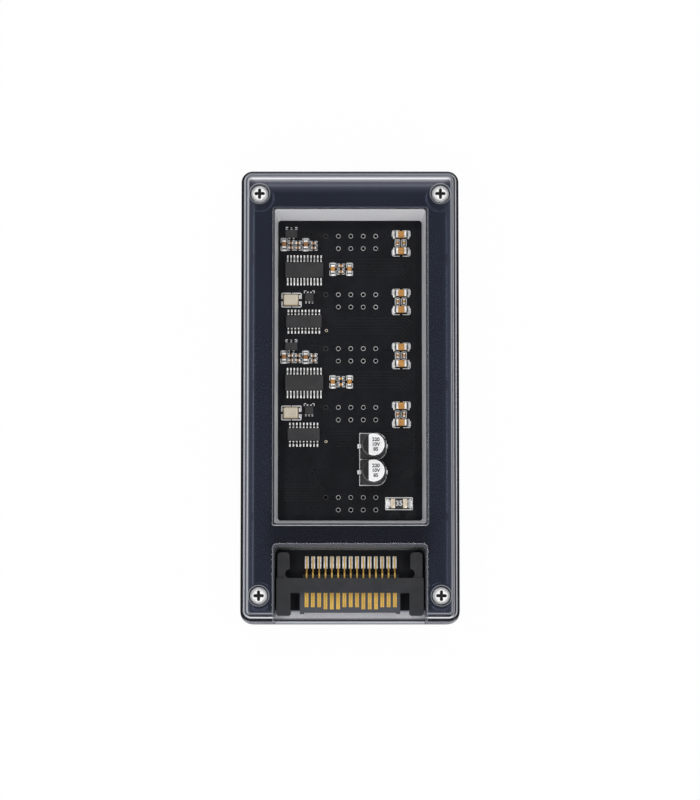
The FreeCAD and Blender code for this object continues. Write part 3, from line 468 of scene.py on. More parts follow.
def tube(bm, loops, closed=False):
    """A solid through loops of equal point counts, capped at both ends or closed on itself."""
    loops = [[bm.verts.new(point) for point in loop] for loop in loops]
    pairs = list(zip(loops, loops[1:]))
    if closed:
        pairs.append((loops[-1], loops[0]))
    for first, second in pairs:
        for k in range(len(first)):
            m = (k + 1) % len(first)
            bm.faces.new((first[k], first[m], second[m], second[k]))
    if not closed:
        bm.faces.new(reversed(loops[0]))
        bm.faces.new(loops[-1])


def arc(x, y, radius, start, finish, steps):
    """Points along a level arc, between two angles in quarter turns."""
    points = []
    for n in range(steps + 1):
        turn = math.pi / 2 * (start + (finish - start) * n / steps)
        points.append((x + radius * math.cos(turn), y + radius * math.sin(turn)))
    return points


def rounded_ring(x_low, x_high, y_low, y_high, radius, z, steps=CORNER_STEPS):
    """A level rectangle with rounded corners, as points."""
    room = min(x_high - x_low, y_high - y_low) / 2 - SAME_SPOT
    radius = max(SAME_SPOT, min(radius, room))
    left, right = x_low + radius, x_high - radius
    bottom, top = y_low + radius, y_high - radius
    corners = ((right, top), (left, top), (left, bottom), (right, bottom))
    points = []
    for quarter, (x, y) in enumerate(corners):
        points += [(*place, z) for place in arc(x, y, radius, quarter, quarter + 1, steps)]
    return points


def disc(bm, x, y, radius, z_low, z_high, steps=CORNER_STEPS):
    """A thin round plate."""
    sides = (x - radius, x + radius, y - radius, y + radius)
    tube(bm, [rounded_ring(*sides, radius, z, steps) for z in (z_low, z_high)])


def pillow(bm, x_ends, y_ends, radius, height):
    """A low solder pad on the board, with rounded corners and a crowned top."""
    x_low, x_high = sorted(x_ends)
    y_low, y_high = sorted(y_ends)
    reach = min(x_high - x_low, y_high - y_low) / 2
    rings = []
    for inset, lift in PILLOW_LEVELS:
        step = inset * reach
        sides = (x_low + step, x_high - step, y_low + step, y_high - step)
        rings.append(rounded_ring(*sides, radius, BOARD_TOP + lift * height))
    tube(bm, rings)


def ribbon(bm, points, width, height, closed=False):
    """A thin flat line on the board through level points, with mitred corners."""
    points = [Vector((x, y)) for x, y in points]
    count = len(points)
    top = BOARD_TOP + height
    sections = []
    for n, point in enumerate(points):
        before = points[n - 1] if closed or n > 0 else None
        after = points[(n + 1) % count] if closed or n < count - 1 else None
        along_in = (point - before).normalized() if before is not None else None
        along_out = (after - point).normalized() if after is not None else along_in
        along_in = along_in or along_out
        along = (along_in + along_out).normalized()
        side = Vector((-along.y, along.x)) * (width / 2 / max(MITRE_LIMIT, along.dot(along_out)))
        left, right = point + side, point - side
        sections.append([(*left, BOARD_TOP), (*right, BOARD_TOP), (*right, top), (*left, top)])
    tube(bm, sections, closed)


def turned(bm, x, y, section, steps=TURN_STEPS):
    """A closed ring turned about an upright axis from its section, in millimetres over the board."""
    rows = []
    for n in range(steps):
        turn = 2 * math.pi * n / steps
        across, along = math.cos(turn), math.sin(turn)
        rows.append([(x + r * MM * across, y + r * MM * along, BOARD_TOP + h * MM) for r, h in section])
    tube(bm, rows, True)


def corner_marks(bm, box, mark, corners=ALL_CORNERS):
    """Printed corners round a part, with a gap in the middle of each side."""
    margin_x, margin_y, gap_x, gap_y, width, radius = [value * MM for value in mark]
    centre = middle(box)
    half_x = (box[1].x - box[0].x) / 2 + margin_x
    half_y = (box[1].y - box[0].y) / 2 + margin_y
    bend = arc(half_x - radius, half_y - radius, radius, 1, 0, CORNER_STEPS)
    line = [(gap_x, half_y), *bend, (half_x, gap_y)]
    for sx, sy in corners:
        points = [(centre.x + sx * x, centre.y + sy * y) for x, y in line]
        ribbon(bm, points, width, PRINT_LAYER)


def fillet(bm, x, y, outward, solder):
    """Solder that runs down from an end cap, in the outward direction, to its pad's rounded edge."""
    reach, half_width, height = [value * MM for value in solder]
    side = Vector((-outward.y, outward.x))
    rim = FILLET_FOOT * FILLET_RIM
    grids = ([], [])
    for i in range(FILLET_ROWS + 1):
        s = i / FILLET_ROWS
        late = max(0.0, (s - FILLET_TOE) / (1 - FILLET_TOE))
        opening = FILLET_HEEL + (1 - FILLET_HEEL) * min(1.0, s / FILLET_FULL)
        width = half_width * opening * math.sqrt(max(FILLET_TIP, 1 - FILLET_TOE_ROUND * late ** 3))
        crest = FILLET_FOOT + (height - FILLET_FOOT) * (1 - s) ** FILLET_SAG
        for grid in grids:
            grid.append([])
        for j in range(FILLET_COLUMNS + 1):
            t = 2 * j / FILLET_COLUMNS - 1
            place = Vector((x, y)) + outward * (s * reach) + side * (t * width)
            level = rim + (crest - rim) * (1 - t ** 4) * (1 - FILLET_TOE_DROP * late ** 4)
            grids[0][i].append(bm.verts.new((place.x, place.y, BOARD_TOP + level)))
            grids[1][i].append(bm.verts.new((place.x, place.y, BOARD_TOP)))
    for grid in grids:
        for i in range(FILLET_ROWS):
            for j in range(FILLET_COLUMNS):
                bm.faces.new((grid[i][j], grid[i + 1][j], grid[i + 1][j + 1], grid[i][j + 1]))
    border = [(i, 0) for i in range(FILLET_ROWS)]
    border += [(FILLET_ROWS, j) for j in range(FILLET_COLUMNS)]
    border += [(i, FILLET_COLUMNS) for i in range(FILLET_ROWS, 0, -1)]
    border += [(0, j) for j in range(FILLET_COLUMNS, 0, -1)]
    for (i, j), (k, m) in zip(border, border[1:] + border[:1]):
        bm.faces.new((grids[0][i][j], grids[0][k][m], grids[1][k][m], grids[1][i][j]))


class Nodes:
    """A node tree under construction."""

    def __init__(self, tree):
        self.nodes, self.links = tree.nodes, tree.links

    def new(self, kind, **values):
        """A new node, with constant values on its inputs."""
        node = self.nodes.new("ShaderNode" + kind)
        for name, value in values.items():
            node.inputs[name.replace("_", " ")].default_value = value
        return node

    def split(self, vector):
        """The three parts of a vector."""
        node = self.new("SeparateXYZ")
        self.links.new(vector, node.inputs[0])
        return node.outputs

    def spread(self, socket, low, high, from_low=NOISE_LOW, from_high=NOISE_HIGH, kind="SMOOTHSTEP"):
        """A value carried from one range to another."""
        node = self.new("MapRange", From_Min=from_low, From_Max=from_high, To_Min=low, To_Max=high)
        node.interpolation_type = kind
        self.links.new(socket, node.inputs["Value"])
        return node.outputs["Result"]

    def math(self, operation, *values):
        node = self.new("Math")
        node.operation = operation
        for place, value in enumerate(values):
            if isinstance(value, (int, float)):
                node.inputs[place].default_value = value
            else:
                self.links.new(value, node.inputs[place])
        return node.outputs[0]


class Finish(Nodes):
    """A node material under construction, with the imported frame's coordinates."""

    def __init__(self, name):
        self.material = bpy.data.materials.new(name)
        self.material.use_nodes = True
        super().__init__(self.material.node_tree)
        self.shader = self.nodes["Principled BSDF"]
        self.output = self.nodes["Material Output"]
        self.coordinates = self.new("TexCoord").outputs["Object"]
        self.axes = self.split(self.coordinates)

    def set(self, **values):
        """Values that are constant over the surface."""
        for name, value in values.items():
            self.shader.inputs[name.replace("_", " ")].default_value = value

    def drive(self, name, socket):
        self.links.new(socket, self.shader.inputs[name])

    def noise(self, size, detail=SOFT_DETAIL):
        """Noise whose blotches are about one size wide."""
        texture = self.new("TexNoise", Scale=1 / size, Detail=detail)
        self.links.new(self.coordinates, texture.inputs["Vector"])
        return texture.outputs["Fac"]

    def product(self, first, *others):
        for other in others:
            first = self.math("MULTIPLY", first, other)
        return first

    def length(self, across, along):
        square = self.math("MULTIPLY_ADD", across, across, self.math("MULTIPLY", along, along))
        return self.math("SQRT", square)

    def away(self, socket, centre):
        """How far a value lies from another, either way."""
        return self.math("ABSOLUTE", self.math("SUBTRACT", socket, centre))

    def between(self, axis, low, high):
        """One where a coordinate lies between two values, else zero."""
        return self.math("COMPARE", self.axes[axis], (low + high) / 2, (high - low) / 2)

    def above(self, level, axis="Z"):
        """One where a coordinate is more than a level, else zero."""
        return self.math("GREATER_THAN", self.axes[axis], level)

    def facing(self, axis):
        """The share of the surface's direction along an axis."""
        return self.split(self.new("NewGeometry").outputs["Normal"])[axis]

    def from_screws(self):
        """How far a point lies from the nearest screw's axis, across and along."""
        centres = [middle(box) for box in solids("cover_screws")]
        offsets = []
        for k, axis in enumerate("XY"):
            places = [centre[k] for centre in centres]
            low, high = min(places), max(places)
            offset = self.away(self.axes[axis], (high + low) / 2)
            offsets.append(self.away(offset, (high - low) / 2))
        return offsets

    def inset(self, centre, half, radius):
        """How far inside a level rounded rectangle a point lies, and how much nearer an end than a side."""
        over = []
        for axis, mid, reach in zip("XY", centre, half):
            over.append(self.math("SUBTRACT", self.away(self.axes[axis], mid), reach - radius))
        corner = [self.math("MAXIMUM", value, 0.0) for value in over]
        round_part = self.math("SUBTRACT", radius, self.length(*corner))
        straight_part = self.math("MINIMUM", self.math("MAXIMUM", *over), 0.0)
        return self.math("SUBTRACT", round_part, straight_part), self.math("SUBTRACT", over[1], over[0])

    def profile(self, distance, stops):
        """A tone and a share that follow a distance through stops of millimetres, tone and share."""
        low, high = stops[0][0] * MM, stops[-1][0] * MM
        ramp = self.new("ValToRGB")
        marks = ramp.color_ramp.elements
        while len(marks) < len(stops):
            marks.new(0.5)
        for mark, stop in zip(marks, stops):
            mark.position = (stop[0] * MM - low) / (high - low)
        for mark, (_, tone, share) in zip(marks, stops):
            blue = min(EDGE_BLUE, tone * EDGE_BLUE_SHARE)
            mark.color = (tone, tone + blue * EDGE_GREEN, tone + blue, share)
        self.links.new(self.spread(distance, 0.0, 1.0, low, high, "LINEAR"), ramp.inputs["Fac"])
        return ramp.outputs["Color"], ramp.outputs["Alpha"]

    def either(self, factor, first, second):
        """One profile where a factor is zero and another where it is one."""
        tone = self.tint(factor, first[0], second[0])
        rise = self.math("SUBTRACT", second[1], first[1])
        return tone, self.math("MULTIPLY_ADD", factor, rise, first[1])

    def sided(self, outline, middle_y, sides):
        """The profiles of an outline's left, right, top and bottom sides, joined at its corners."""
        distance, endward = outline
        left, right, top, bottom = [self.profile(distance, stops) for stops in sides]
        rightward, upper = self.above(0.0, "X"), self.above(middle_y, "Y")
        end = self.spread(endward, 0.0, 1.0, -CORNER_BLEND, CORNER_BLEND)
        return self.either(end, self.either(rightward, left, right), self.either(upper, bottom, top))

    def tint(self, factor, first, second):
        """A colour between two others."""
        node = self.new("Mix")
        node.data_type = "RGBA"
        self.links.new(factor, node.inputs["Factor"])
        for name, value in (("A", first), ("B", second)):
            place = [s for s in node.inputs if s.name == name and s.type == "RGBA"][0]
            if isinstance(value, tuple):
                place.default_value = (*value, 1.0)
            else:
                self.links.new(value, place)
        return [s for s in node.outputs if s.type == "RGBA"][0]

    def overlay(self, factor, colour):
        """Another colour over the present one where a factor says so."""
        present = self.shader.inputs["Base Color"].links[0].from_socket
        self.drive("Base Color", self.tint(factor, present, colour))

    def paint_slope_reflection(self, limits, colour):
        """Painted reflection: another colour where the surface leans away from straight up."""
        self.overlay(self.spread(self.facing("Z"), 1.0, 0.0, *limits), colour)

    def diffuse(self, colour):
        node = self.new("BsdfDiffuse")
        self.links.new(colour, node.inputs["Color"])
        return node.outputs[0]

    def mixed(self, factor, first, second):
        """Two shaders mixed."""
        node = self.new("MixShader")
        for place, socket in enumerate((factor, first, second)):
            self.links.new(socket, node.inputs[place])
        return node.outputs[0]

    def bump(self, socket, depth):
        node = self.new("Bump", Distance=depth, Strength=RELIEF_STRENGTH)
        self.links.new(socket, node.inputs["Height"])
        self.links.new(node.outputs["Normal"], self.shader.inputs["Normal"])


def grained(name, dark, light, rough, metallic=0.0, specular=0.5, grain=0.25 * MM, relief=0.004 * MM,
            blotch=2.5 * MM):
    """A plain finish: two close tones, uneven gloss and a fine relief."""
    finish = Finish(name)
    tone = finish.noise(blotch, TONE_DETAIL)
    fine = finish.noise(grain, FINE_DETAIL)
    finish.drive("Base Color", finish.tint(finish.spread(tone, 0.0, 1.0), dark, light))
    finish.drive("Roughness", finish.spread(fine, *rough))
    finish.set(Metallic=metallic, Specular_IOR_Level=specular)
    finish.bump(fine, relief)
    return finish


def smoke_clear():
    """Polished smoke-clear polycarbonate, with satin rim walls and painted highlights and shade along its
    edges.
    """
    finish = Finish("smoke_clear")
    finish.set(Base_Color=CLEAR_TINT, IOR=CLEAR_INDEX, Transmission_Weight=1.0)
    finish.drive("Roughness", finish.spread(finish.noise(CLEAR_BLOTCH), *CLEAR_ROUGHNESS))
    haze = finish.diffuse(finish.tint(finish.noise(HAZE_BLOTCH), HAZE_DARK, HAZE_LIGHT))
    surface = finish.mixed(haze_share(finish), finish.shader.outputs[0], haze)
    surface = finish.mixed(wall_share(finish), surface, satin_wall(finish))
    # Painted highlights and shade: pale and dark diffuse lines over the clear plastic
    for (tone, share), place in painted_edge_light(finish):
        surface = finish.mixed(finish.product(share, place), surface, finish.diffuse(tone))
    finish.links.new(surface, finish.output.inputs["Surface"])
    smoke = finish.new("VolumeAbsorption", Color=SMOKE_COLOUR, Density=SMOKE_DENSITY)
    finish.links.new(smoke.outputs[0], finish.output.inputs["Volume"])
    return finish.material


def haze_share(finish):
    """How hazy the clear plastic looks, with less on the bar between the window and the notch."""
    across = finish.spread(finish.away(finish.axes["X"], 0.0), 1.0, 0.0, *BAR_SIDE)
    along = finish.spread(finish.away(finish.axes["Y"], BAR_MIDDLE), 1.0, 0.0, *BAR_END)
    return finish.math("MULTIPLY_ADD", finish.product(across, along), BAR_HAZE - HAZE, HAZE)


def satin_wall(finish):
    """The satin surface of the rim walls, with painted light making the window's far end wall palest."""
    satin = finish.new("BsdfPrincipled", Roughness=WALL_ROUGHNESS, IOR=CLEAR_INDEX)
    fine = finish.spread(finish.noise(WALL_GRAIN, FINE_DETAIL), 0.0, 1.0)
    # Painted light: the far end wall, facing the front lamp, is made paler
    end_wall_painted_light = finish.spread(finish.facing("Y"), 1.0, 0.0, *END_WALL_TURN)
    tone = finish.tint(end_wall_painted_light, finish.tint(fine, WALL_DARK, WALL_LIGHT), END_WALL_PAINTED_LIGHT)
    finish.links.new(tone, satin.inputs["Base Color"])
    return satin.outputs[0]


def wall_share(finish):
    """How satin the cover is: on the rim walls of the window and the notch, and on the sill."""
    height = finish.axes["Z"]
    window = finish.product(finish.between("Y", WINDOW_LOW, WINDOW_HIGH), FULL_SATIN)
    notch_share = finish.spread(height, FULL_SATIN, NOTCH_SATIN, *SILL_FADE)
    notch = finish.product(finish.between("Y", NOTCH_LOW, NOTCH_HIGH), notch_share)
    inside = finish.between("X", -WALL_SIDE, WALL_SIDE)
    below_round = finish.spread(height, 1.0, 0.0, FACE - RIM_ROUND, FACE - RIM_ROUND + RIM_SOFT)
    either = finish.math("MAXIMUM", window, notch)
    return finish.product(inside, either, below_round, finish.above(SILL_LEVEL))


def painted_edge_light(finish):
    """Painted highlights and shade along the cover's edges and openings, at its screws and on its sill, with
    its place.
    """
    near_face = finish.above(FACE - EDGE_DEPTH)
    near_rim = finish.above(FACE - RIM_DEPTH)
    outline = finish.inset((0.0, 0.0), FACE_HALF, CORNER_RADIUS)
    side_wall = finish.math("LESS_THAN", outline[0], WALL_INSET)
    edges = finish.sided(outline, 0.0, (LEFT_EDGE, RIGHT_EDGE, TOP_EDGE, BOTTOM_EDGE))
    yield edges, finish.math("MAXIMUM", near_face, side_wall)
    window_half = (RIM_HALF, (WINDOW_TOP - WINDOW_BOTTOM) / 2)
    window = finish.inset((0.0, WINDOW_MIDDLE), window_half, RIM_CORNER)
    rims = (WINDOW_LEFT_RIM, WINDOW_RIGHT_RIM, WINDOW_TOP_RIM, WINDOW_LOW_RIM)
    yield finish.sided(window, WINDOW_MIDDLE, rims), near_rim
    notch, _ = finish.inset((0.0, NOTCH_TOP - NOTCH_RUN), (RIM_HALF, NOTCH_RUN), NOTCH_CORNER)
    yield finish.profile(notch, NOTCH_RIM), near_rim
    yield finish.profile(finish.length(*finish.from_screws()), SCREW_RING), near_face
    sill = finish.math("SUBTRACT", finish.axes["Y"], SILL_FRONT)
    low = finish.math("LESS_THAN", finish.axes["Z"], SILL_LEVEL + SILL_ROOM)
    on_sill = finish.product(finish.between("X", -SILL_SIDE, SILL_SIDE), low, finish.above(PARTING))
    yield finish.profile(sill, SILL_EDGE), on_sill


def cross_recess_shade(finish):
    """Painted shade: black in the cross recess of each screw head."""
    across, along = finish.from_screws()
    arms = []
    for length, width in ((across, along), (along, across)):
        past = finish.math("MAXIMUM", finish.math("SUBTRACT", length, CROSS_REACH - CROSS_HALF), 0.0)
        arms.append(finish.length(past, width))
    nearest = finish.math("MINIMUM", *arms)
    cross = finish.spread(nearest, 1.0, 0.0, CROSS_HALF - CROSS_SOFT, CROSS_HALF + CROSS_SOFT)
    finish.overlay(finish.product(cross, finish.above(FACE - CROSS_DEPTH)), CROSS_SHADE_TONE)


def darker_blade_middles(finish):
    """Gold darker along the middle of each inlet contact."""
    boxes = sorted(solids("power_inlet_contacts"), key=lambda box: box[0].x)
    first, last = middle(boxes[0]).x, middle(boxes[-1]).x
    pitch = (last - first) / (len(boxes) - 1)
    step = finish.math("SUBTRACT", finish.axes["X"], first - pitch / 2)
    place = finish.away(finish.math("MODULO", step, pitch), pitch / 2)
    stripe = finish.spread(place, 1.0, 0.0, *BLADE_STRIPE_EDGE)
    blade = finish.between("Y", BOARD_LOW.y - BLADE_ROOM, boxes[0][0].y + BLADE_LENGTH)
    finish.overlay(finish.product(stripe, blade, BLADE_STRIPE_SHARE), BLADE_STRIPE_TONE)


def can_paint(finish):
    """The printed black segment on each can's top."""
    low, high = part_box("can_capacitor_1_can")
    left = finish.math("LESS_THAN", finish.axes["X"], (low.x + high.x) / 2 - CAN_SEGMENT)
    finish.overlay(finish.product(left, finish.above(high.z - CAN_PAINT_DEPTH)), CAN_PAINT_TONE)


def small_capacitors(finish):
    """Darker ceramic on the small capacitors beside the chips."""
    finish.overlay(finish.between("X", BOARD_LOW.x, SMALL_CAPACITOR_SIDE), SMALL_CAPACITOR_TONE)


def painted_tongue_light(finish):
    """Painted light: a paler tongue in front of the inlet's crossbar, where more light falls on it."""
    low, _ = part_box("power_inlet_contacts")
    along = finish.between("Y", low.y - TONGUE_ROOM, low.y + TONGUE_DEPTH)
    finish.overlay(finish.product(along, finish.between("X", -TONGUE_SIDE, TONGUE_SIDE)), TONGUE_PAINTED_LIGHT)


PAINTED = {
    "screw_steel": cross_recess_shade,
    "contact_gold": darker_blade_middles,
    "can_aluminium": can_paint,
    "capacitor_ceramic": small_capacitors,
    "inlet_plastic": painted_tongue_light,
}


def make_materials():
    MATERIALS["smoke_clear"] = smoke_clear()
    for name, (dark, light, rough, more) in FINISHES.items():
        finish = grained(name, dark, light, rough, **more)
        if name in PAINTED:
            PAINTED[name](finish)
        if name in SLOPE_REFLECTIONS:
            finish.paint_slope_reflection(*SLOPE_REFLECTIONS[name])
        MATERIALS[name] = finish.material


def dress_nodes():
    """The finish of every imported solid, with softened edges on the small moulded and plated ones."""
    for subpart in frame["record"]["subparts"]:
        solid, slot = frame["nodes"][subpart["node"]], subpart["material_slot"]
        for place in solid.material_slots:
            place.material = MATERIALS[slot]
        if slot in EDGE_ROUNDS:
            weld = solid.modifiers.new("weld", "WELD")
            weld.merge_threshold = SAME_SPOT
            bevel = solid.modifiers.new("edges", "BEVEL")
            bevel.width = EDGE_ROUNDS[slot] * MM
            bevel.segments = ROUND_SEGMENTS
            bevel.limit_method = "ANGLE"
            bevel.angle_limit = ROUND_ANGLE
            solid.modifiers.new("shading", "WEIGHTED_NORMAL")


def header_places():
    """The plated places of each header, and the bare ones, from its pins."""
    plated, bare = [], []
    for node in ["upstream_header_pins"] + [f"port_header_{n}_pins" for n in PORTS]:
        pins = [middle(box) for box in solids(node)]
        first = min(pin.x for pin in pins)
        for pin in pins:
            (bare if pin.x < first + COLUMN_ROOM else plated).append(pin)
    return plated, bare


def plated_rings():
    rings, hole_shade, rims = bmesh.new(), bmesh.new(), bmesh.new()
    plated, bare = header_places()
    hole_shade_top = BOARD_TOP - HOLE_SHADE_DROP
    kinds = ((plated, rings, PLATED_RING, RING_BORE), (bare, rims, BARE_RIM, HOLE_RADIUS))
    for places, bm, section, bore in kinds:
        for pin in places:
            turned(bm, pin.x, pin.y, section)
            # Painted shade: a near-black disc down in each hole
            disc(hole_shade, pin.x, pin.y, bore, hole_shade_top - HOLE_SHADE_HEIGHT, hole_shade_top, HOLE_SHADE_STEPS)
    add_piece("plated_rings", rings, "ring_tin")
    add_piece("hole_shade_discs", hole_shade, "via_dark")
    add_piece("bare_hole_rims", rims, "rim_mask")


def vias():
    rims, bore_shade, pads = bmesh.new(), bmesh.new(), bmesh.new()
    for x, y in VIA_PLACES:
        turned(rims, x * MM, y * MM, VIA_RIM, VIA_STEPS)
        # Painted shade: a near-black disc over each via's bore
        disc(bore_shade, x * MM, y * MM, VIA_BORE, BOARD_TOP, BOARD_TOP + MASK_LAYER)
    for x, y in TEST_PAD_PLACES:
        turned(pads, x * MM, y * MM, TEST_PAD)
    add_piece("via_rims", rims, "track_mask")
    add_piece("via_bore_shade", bore_shade, "via_dark")
    add_piece("test_pads", pads, "fuse_metal")


def outward_of(end, bodies):
    """The direction from a chip component's middle to one of its ends."""
    centre = middle(end)
    body = min(bodies, key=lambda box: (middle(box) - centre).length)
    step = centre - middle(body)
    if abs(step.x) > abs(step.y):
        return Vector((math.copysign(1, step.x), 0))
    return Vector((0, math.copysign(1, step.y)))


def solder_for(node, width):
    """The solder of an end cap, by its width."""
    if node == "fuse_ends":
        return FUSE_SOLDER
    if width > LARGE_END:
        return LARGE_SOLDER
    return MEDIUM_SOLDER if width > MEDIUM_END else SMALL_SOLDER


def end_solder():
    bm = bmesh.new()
    pairs = [(f"channel_capacitors_{n}", f"channel_capacitor_ends_{n}") for n in CHANNELS]
    pairs += [(f"port_capacitors_{n}", f"port_capacitor_ends_{n}") for n in PORTS]
    pairs += [("fuse_body", "fuse_ends")]
    for body_node, end_node in pairs:
        bodies = solids(body_node)
        for end in solids(end_node):
            outward = outward_of(end, bodies)
            size, centre = end[1] - end[0], middle(end)
            length, width = (size.x, size.y) if outward.x else (size.y, size.x)
            foot = Vector((centre.x, centre.y)) + outward * (length / 2)
            fillet(bm, foot.x, foot.y, outward, solder_for(end_node, width))
    for n in CHANNELS:
        can = middle(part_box(f"can_capacitor_{n}_base"))
        for low, high in solids(f"can_capacitor_{n}_tabs"):
            side = 1 if (low.x + high.x) / 2 > can.x else -1
            tip = high.x if side > 0 else low.x
            x_ends = (tip - side * TAB_PAD_HEEL, tip + side * TAB_PAD_TOES[side])
            pillow(bm, x_ends, (low.y - TAB_PAD_SIDE, high.y + TAB_PAD_SIDE), *TAB_PAD)
        low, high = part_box(f"crystal_{n}_base")
        for end, side in ((low.x, -1), (high.x, 1)):
            for y in (low.y + CRYSTAL_PAD_INSET, high.y - CRYSTAL_PAD_INSET):
                x_ends = (end, end + side * CRYSTAL_PAD_REACH)
                y_ends = (y - CRYSTAL_PAD_HALF, y + CRYSTAL_PAD_HALF)
                pillow(bm, x_ends, y_ends, *CRYSTAL_PAD)
    add_piece("end_solder", bm, "tinned_metal", SOLDER_SHARP_ANGLE)


def lead_pads():
    bm = bmesh.new()
    for n in CHANNELS:
        for chip in CHIPS:
            centre = middle(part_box(f"{chip}_{n}_body"))
            for low, high in solids(f"{chip}_{n}_leads"):
                side = 1 if (low.y + high.y) / 2 > centre.y else -1
                toe = (high.y if side > 0 else low.y) + side * LEAD_PAD_TOE
                heel = toe - side * min(LEAD_PAD_LENGTH, (high.y - low.y) * LEAD_PAD_SHARE)
                x_ends = (low.x - LEAD_PAD_SIDE, high.x + LEAD_PAD_SIDE)
                pillow(bm, x_ends, (toe, heel), *LEAD_PAD)
    for low, high in solids("power_inlet_contacts"):
        x = (low.x + high.x) / 2
        y_ends = (high.y - TAIL_PAD_LENGTH, high.y + TAIL_PAD_TOE)
        pillow(bm, (x - TAIL_PAD_HALF, x + TAIL_PAD_HALF), y_ends, *TAIL_PAD)
    add_piece("lead_pads", bm, "tinned_metal", SOLDER_SHARP_ANGLE)


def channel_print(bm, n):
    """The marks round a channel's crystal, small chips and capacitors."""
    crystal = [corner + CRYSTAL_PRINT_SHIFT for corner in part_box(f"crystal_{n}_base")]
    corner_marks(bm, crystal, CRYSTAL_MARK)
    for chip, mark in (("regulator", REGULATOR_MARK), ("small_chip", SMALL_CHIP_MARK)):
        centre = middle(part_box(f"{chip}_{n}_body"))
        corner_marks(bm, (centre, centre), mark, TOP_CORNERS)
    for low, high in solids(f"channel_capacitors_{n}"):
        size = high - low
        if size.y > size.x * NEARLY_SQUARE and size.z > TALL_CAPACITOR:
            corner_marks(bm, (low, high), UPRIGHT_MARK)
        elif size.x > size.y * NEARLY_SQUARE:
            corner_marks(bm, (low, high), LEVEL_MARK)


def port_print(bm, n):
    """The marks round a port's capacitors: outer corners of the large ones, and all of the others."""
    bodies = solids(f"port_capacitors_{n}")
    centre = sum((middle(box) for box in bodies), Vector()) / len(bodies)
    for box in bodies:
        if box[1].z - box[0].z > LARGE_END:
            side = 1 if middle(box).y > centre.y else -1
            corner_marks(bm, box, LARGE_MARKS[side], ((1, side), (-1, side)))
        else:
            corner_marks(bm, box, MEDIUM_MARK)


def can_outline(low, high, top_gap):
    """The printed outline of a can capacitor: square on the left, rounded on the right."""
    left, right = low.x - CAN_PRINT_LEFT, high.x + CAN_PRINT_RIGHT - CAN_PRINT_RADIUS
    bottom, top = low.y - CAN_PRINT_GAP, high.y + top_gap
    points = [(left, top), (left, bottom)]
    points += arc(right, bottom + CAN_PRINT_RADIUS, CAN_PRINT_RADIUS, -1, 0, CAN_PRINT_STEPS)
    points += arc(right, top - CAN_PRINT_RADIUS, CAN_PRINT_RADIUS, 0, 1, CAN_PRINT_STEPS)
    return points


def board_print():
    bm = bmesh.new()
    for n in CHANNELS:
        channel_print(bm, n)
    for n in PORTS:
        port_print(bm, n)
    corner_marks(bm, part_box("fuse_ends"), FUSE_MARK)
    for n in CHANNELS:
        low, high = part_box(f"can_capacitor_{n}_base")
        top_gap = CAN_PRINT_GAP if n == CHANNELS[0] else 0.0
        ribbon(bm, can_outline(low, high, top_gap), CAN_PRINT_WIDTH, PRINT_LAYER, True)
    add_piece("board_print", bm, "print_white")


def track_bundles(bm, bundles, levels):
    """Bundles of tracks, with each bend measured from its level."""
    for count, bends in bundles:
        for k in range(count):
            points = []
            for level, x, y, x_step, y_step in bends:
                points.append(((x + k * x_step) * MM, levels[level] + (y + k * y_step) * MM))
            ribbon(bm, points, TRACK_WIDTH, MASK_LAYER)


def tracks():
    """Faint copper under the mask: bundles at the headers, lines down both sides and two patches."""
    bm = bmesh.new()
    for n in PORTS:
        low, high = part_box(f"port_header_{n}_body")
        track_bundles(bm, HEADER_TRACKS, {"low": low.y, "high": high.y})
    track_bundles(bm, BOARD_TRACKS, {"board": 0.0})
    for side in PATCH_SIDES:
        outline = [((side + x) * MM, y * MM) for x, y in PATCH_OUTLINE]
        tube(bm, [[(x, y, z) for x, y in outline] for z in (BOARD_TOP, BOARD_TOP + MASK_LAYER)])
    add_piece("board_tracks", bm, "track_mask")


def figures(name, body, place, height, material):
    """Plain raised figures on a level face."""
    curve = bpy.data.curves.new(name, "FONT")
    curve.body = body
    curve.size = height / CAPITAL_SHARE
    curve.align_x = "CENTER"
    curve.align_y = "CENTER"
    curve.extrude = FIGURE_LIFT
    curve.offset = FIGURE_BOLD
    curve.resolution_u = FIGURE_SMOOTHNESS
    curve.materials.append(MATERIALS[material])
    piece = bpy.data.objects.new(name, curve)
    piece.location = place
    join_hub(piece)


def part_figures():
    """Plain figures on each can's top and on the fuse."""
    for n in CHANNELS:
        low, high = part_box(f"can_capacitor_{n}_can")
        centre = (low + high) / 2
        for row, body in enumerate(CAN_FIGURES):
            y = centre.y + (1 - row) * CAN_FIGURE_PITCH
            place = (centre.x + CAN_FIGURE_SHIFT, y, high.z + FIGURE_LIFT)
            name = f"can_figures_{n}_{row + 1}"
            figures(name, body, place, CAN_FIGURE_HEIGHT, "print_black")
    low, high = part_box("fuse_body")
    centre = (low + high) / 2
    place = (centre.x, centre.y, high.z + FIGURE_LIFT)
    figures("fuse_figures", FUSE_FIGURES, place, FUSE_FIGURE_HEIGHT, "print_white")


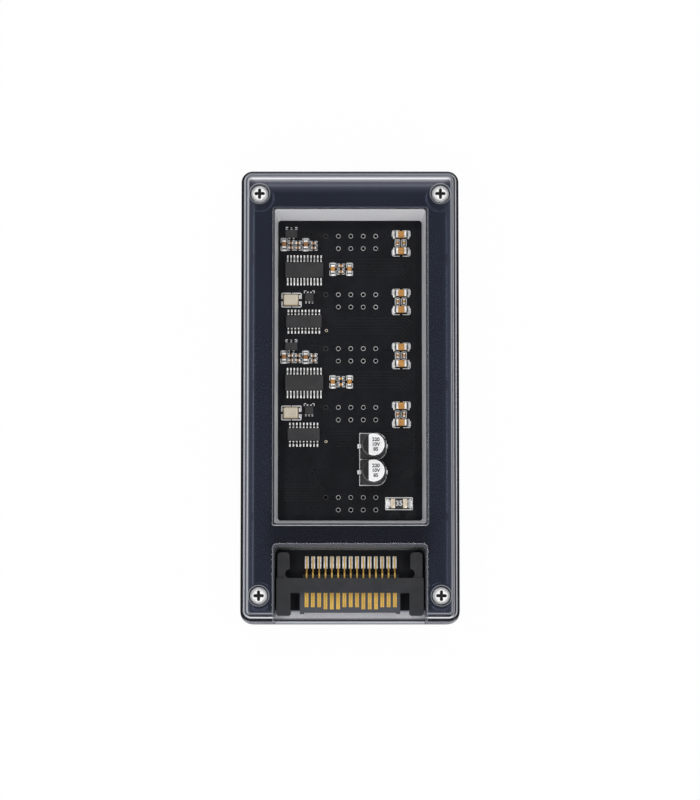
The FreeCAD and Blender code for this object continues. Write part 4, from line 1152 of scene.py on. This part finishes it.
def add_floor():
    """A pale floor that the camera sees as white, with a faint shadow, and fainter through the case."""
    mesh = bpy.data.meshes.new("floor")
    half = FLOOR_SIZE / 2
    corners = [(sx * half, sy * half, -FLOOR_SINK) for sx, sy in ((-1, -1), (1, -1), (1, 1), (-1, 1))]
    mesh.from_pydata(corners, [], [(0, 1, 2, 3)])
    floor = bpy.data.objects.new("floor", mesh)
    SCENE.collection.objects.link(floor)
    finish = Finish("floor_white")
    finish.nodes.remove(finish.shader)
    diffuse = finish.new("BsdfDiffuse", Color=FLOOR_COLOUR)
    glow = finish.new("Emission", Color=WHITE)
    path = finish.new("LightPath").outputs
    straight, through = path["Is Camera Ray"], path["Is Transmission Ray"]
    seen = finish.math("MULTIPLY_ADD", through, FLOOR_THROUGH_CASE, straight)
    share = finish.math("MULTIPLY", seen, FLOOR_GLOW)
    surface = finish.mixed(share, diffuse.outputs[0], glow.outputs[0])
    finish.links.new(surface, finish.output.inputs["Surface"])
    mesh.materials.append(finish.material)


def add_room():
    """A white room with a dark ceiling, which lights the object less than it shows."""
    world = bpy.data.worlds.new("studio")
    SCENE.world = world
    world.use_nodes = True
    room = Nodes(world.node_tree)
    upward = room.split(room.new("TexCoord").outputs["Generated"])["Z"]
    ceiling = room.spread(upward, 1.0, ZENITH_LIGHT, *CEILING_RISE)
    path = room.new("LightPath").outputs
    seen = room.math("MAXIMUM", path["Is Camera Ray"], path["Is Glossy Ray"])
    seen = room.math("MAXIMUM", seen, path["Is Transmission Ray"])
    share = room.math("MULTIPLY_ADD", seen, 1 - ROOM_LIGHT, ROOM_LIGHT)
    background = room.nodes["Background"].inputs
    background["Color"].default_value = WHITE
    room.links.new(room.math("MULTIPLY", ceiling, share), background["Strength"])


def add_lamps():
    """Soft boxes round and over the object, turned to it."""
    for n, (spot, width, height, power) in enumerate(LAMPS, 1):
        lamp = bpy.data.lights.new(f"soft_box_{n}", "AREA")
        lamp.shape = "RECTANGLE"
        lamp.size = width
        lamp.size_y = height
        lamp.energy = power
        box = bpy.data.objects.new(f"soft_box_{n}", lamp)
        box.location = spot
        box.rotation_euler = (-Vector(spot)).to_track_quat("-Z", "Y").to_euler()
        SCENE.collection.objects.link(box)


def add_camera():
    camera = bpy.data.cameras.new("camera")
    camera.sensor_fit = "VERTICAL"
    camera.sensor_height = SENSOR_HEIGHT
    camera.lens = CAMERA_LENS
    camera.clip_start = CAMERA_NEAR
    holder = bpy.data.objects.new("camera", camera)
    aim = Vector((0, -AIM_DROP, FACE))
    away = Vector((0, -math.sin(CAMERA_TILT), math.cos(CAMERA_TILT)))
    holder.location = aim + away * CAMERA_DISTANCE
    holder.rotation_euler = (CAMERA_TILT, 0, 0)
    SCENE.collection.objects.link(holder)
    SCENE.camera = holder


make_materials()
dress_nodes()
plated_rings()
vias()
end_solder()
lead_pads()
board_print()
tracks()
part_figures()
add_floor()
add_room()
add_lamps()
add_camera()
SCENE.view_settings.view_transform = "Standard"
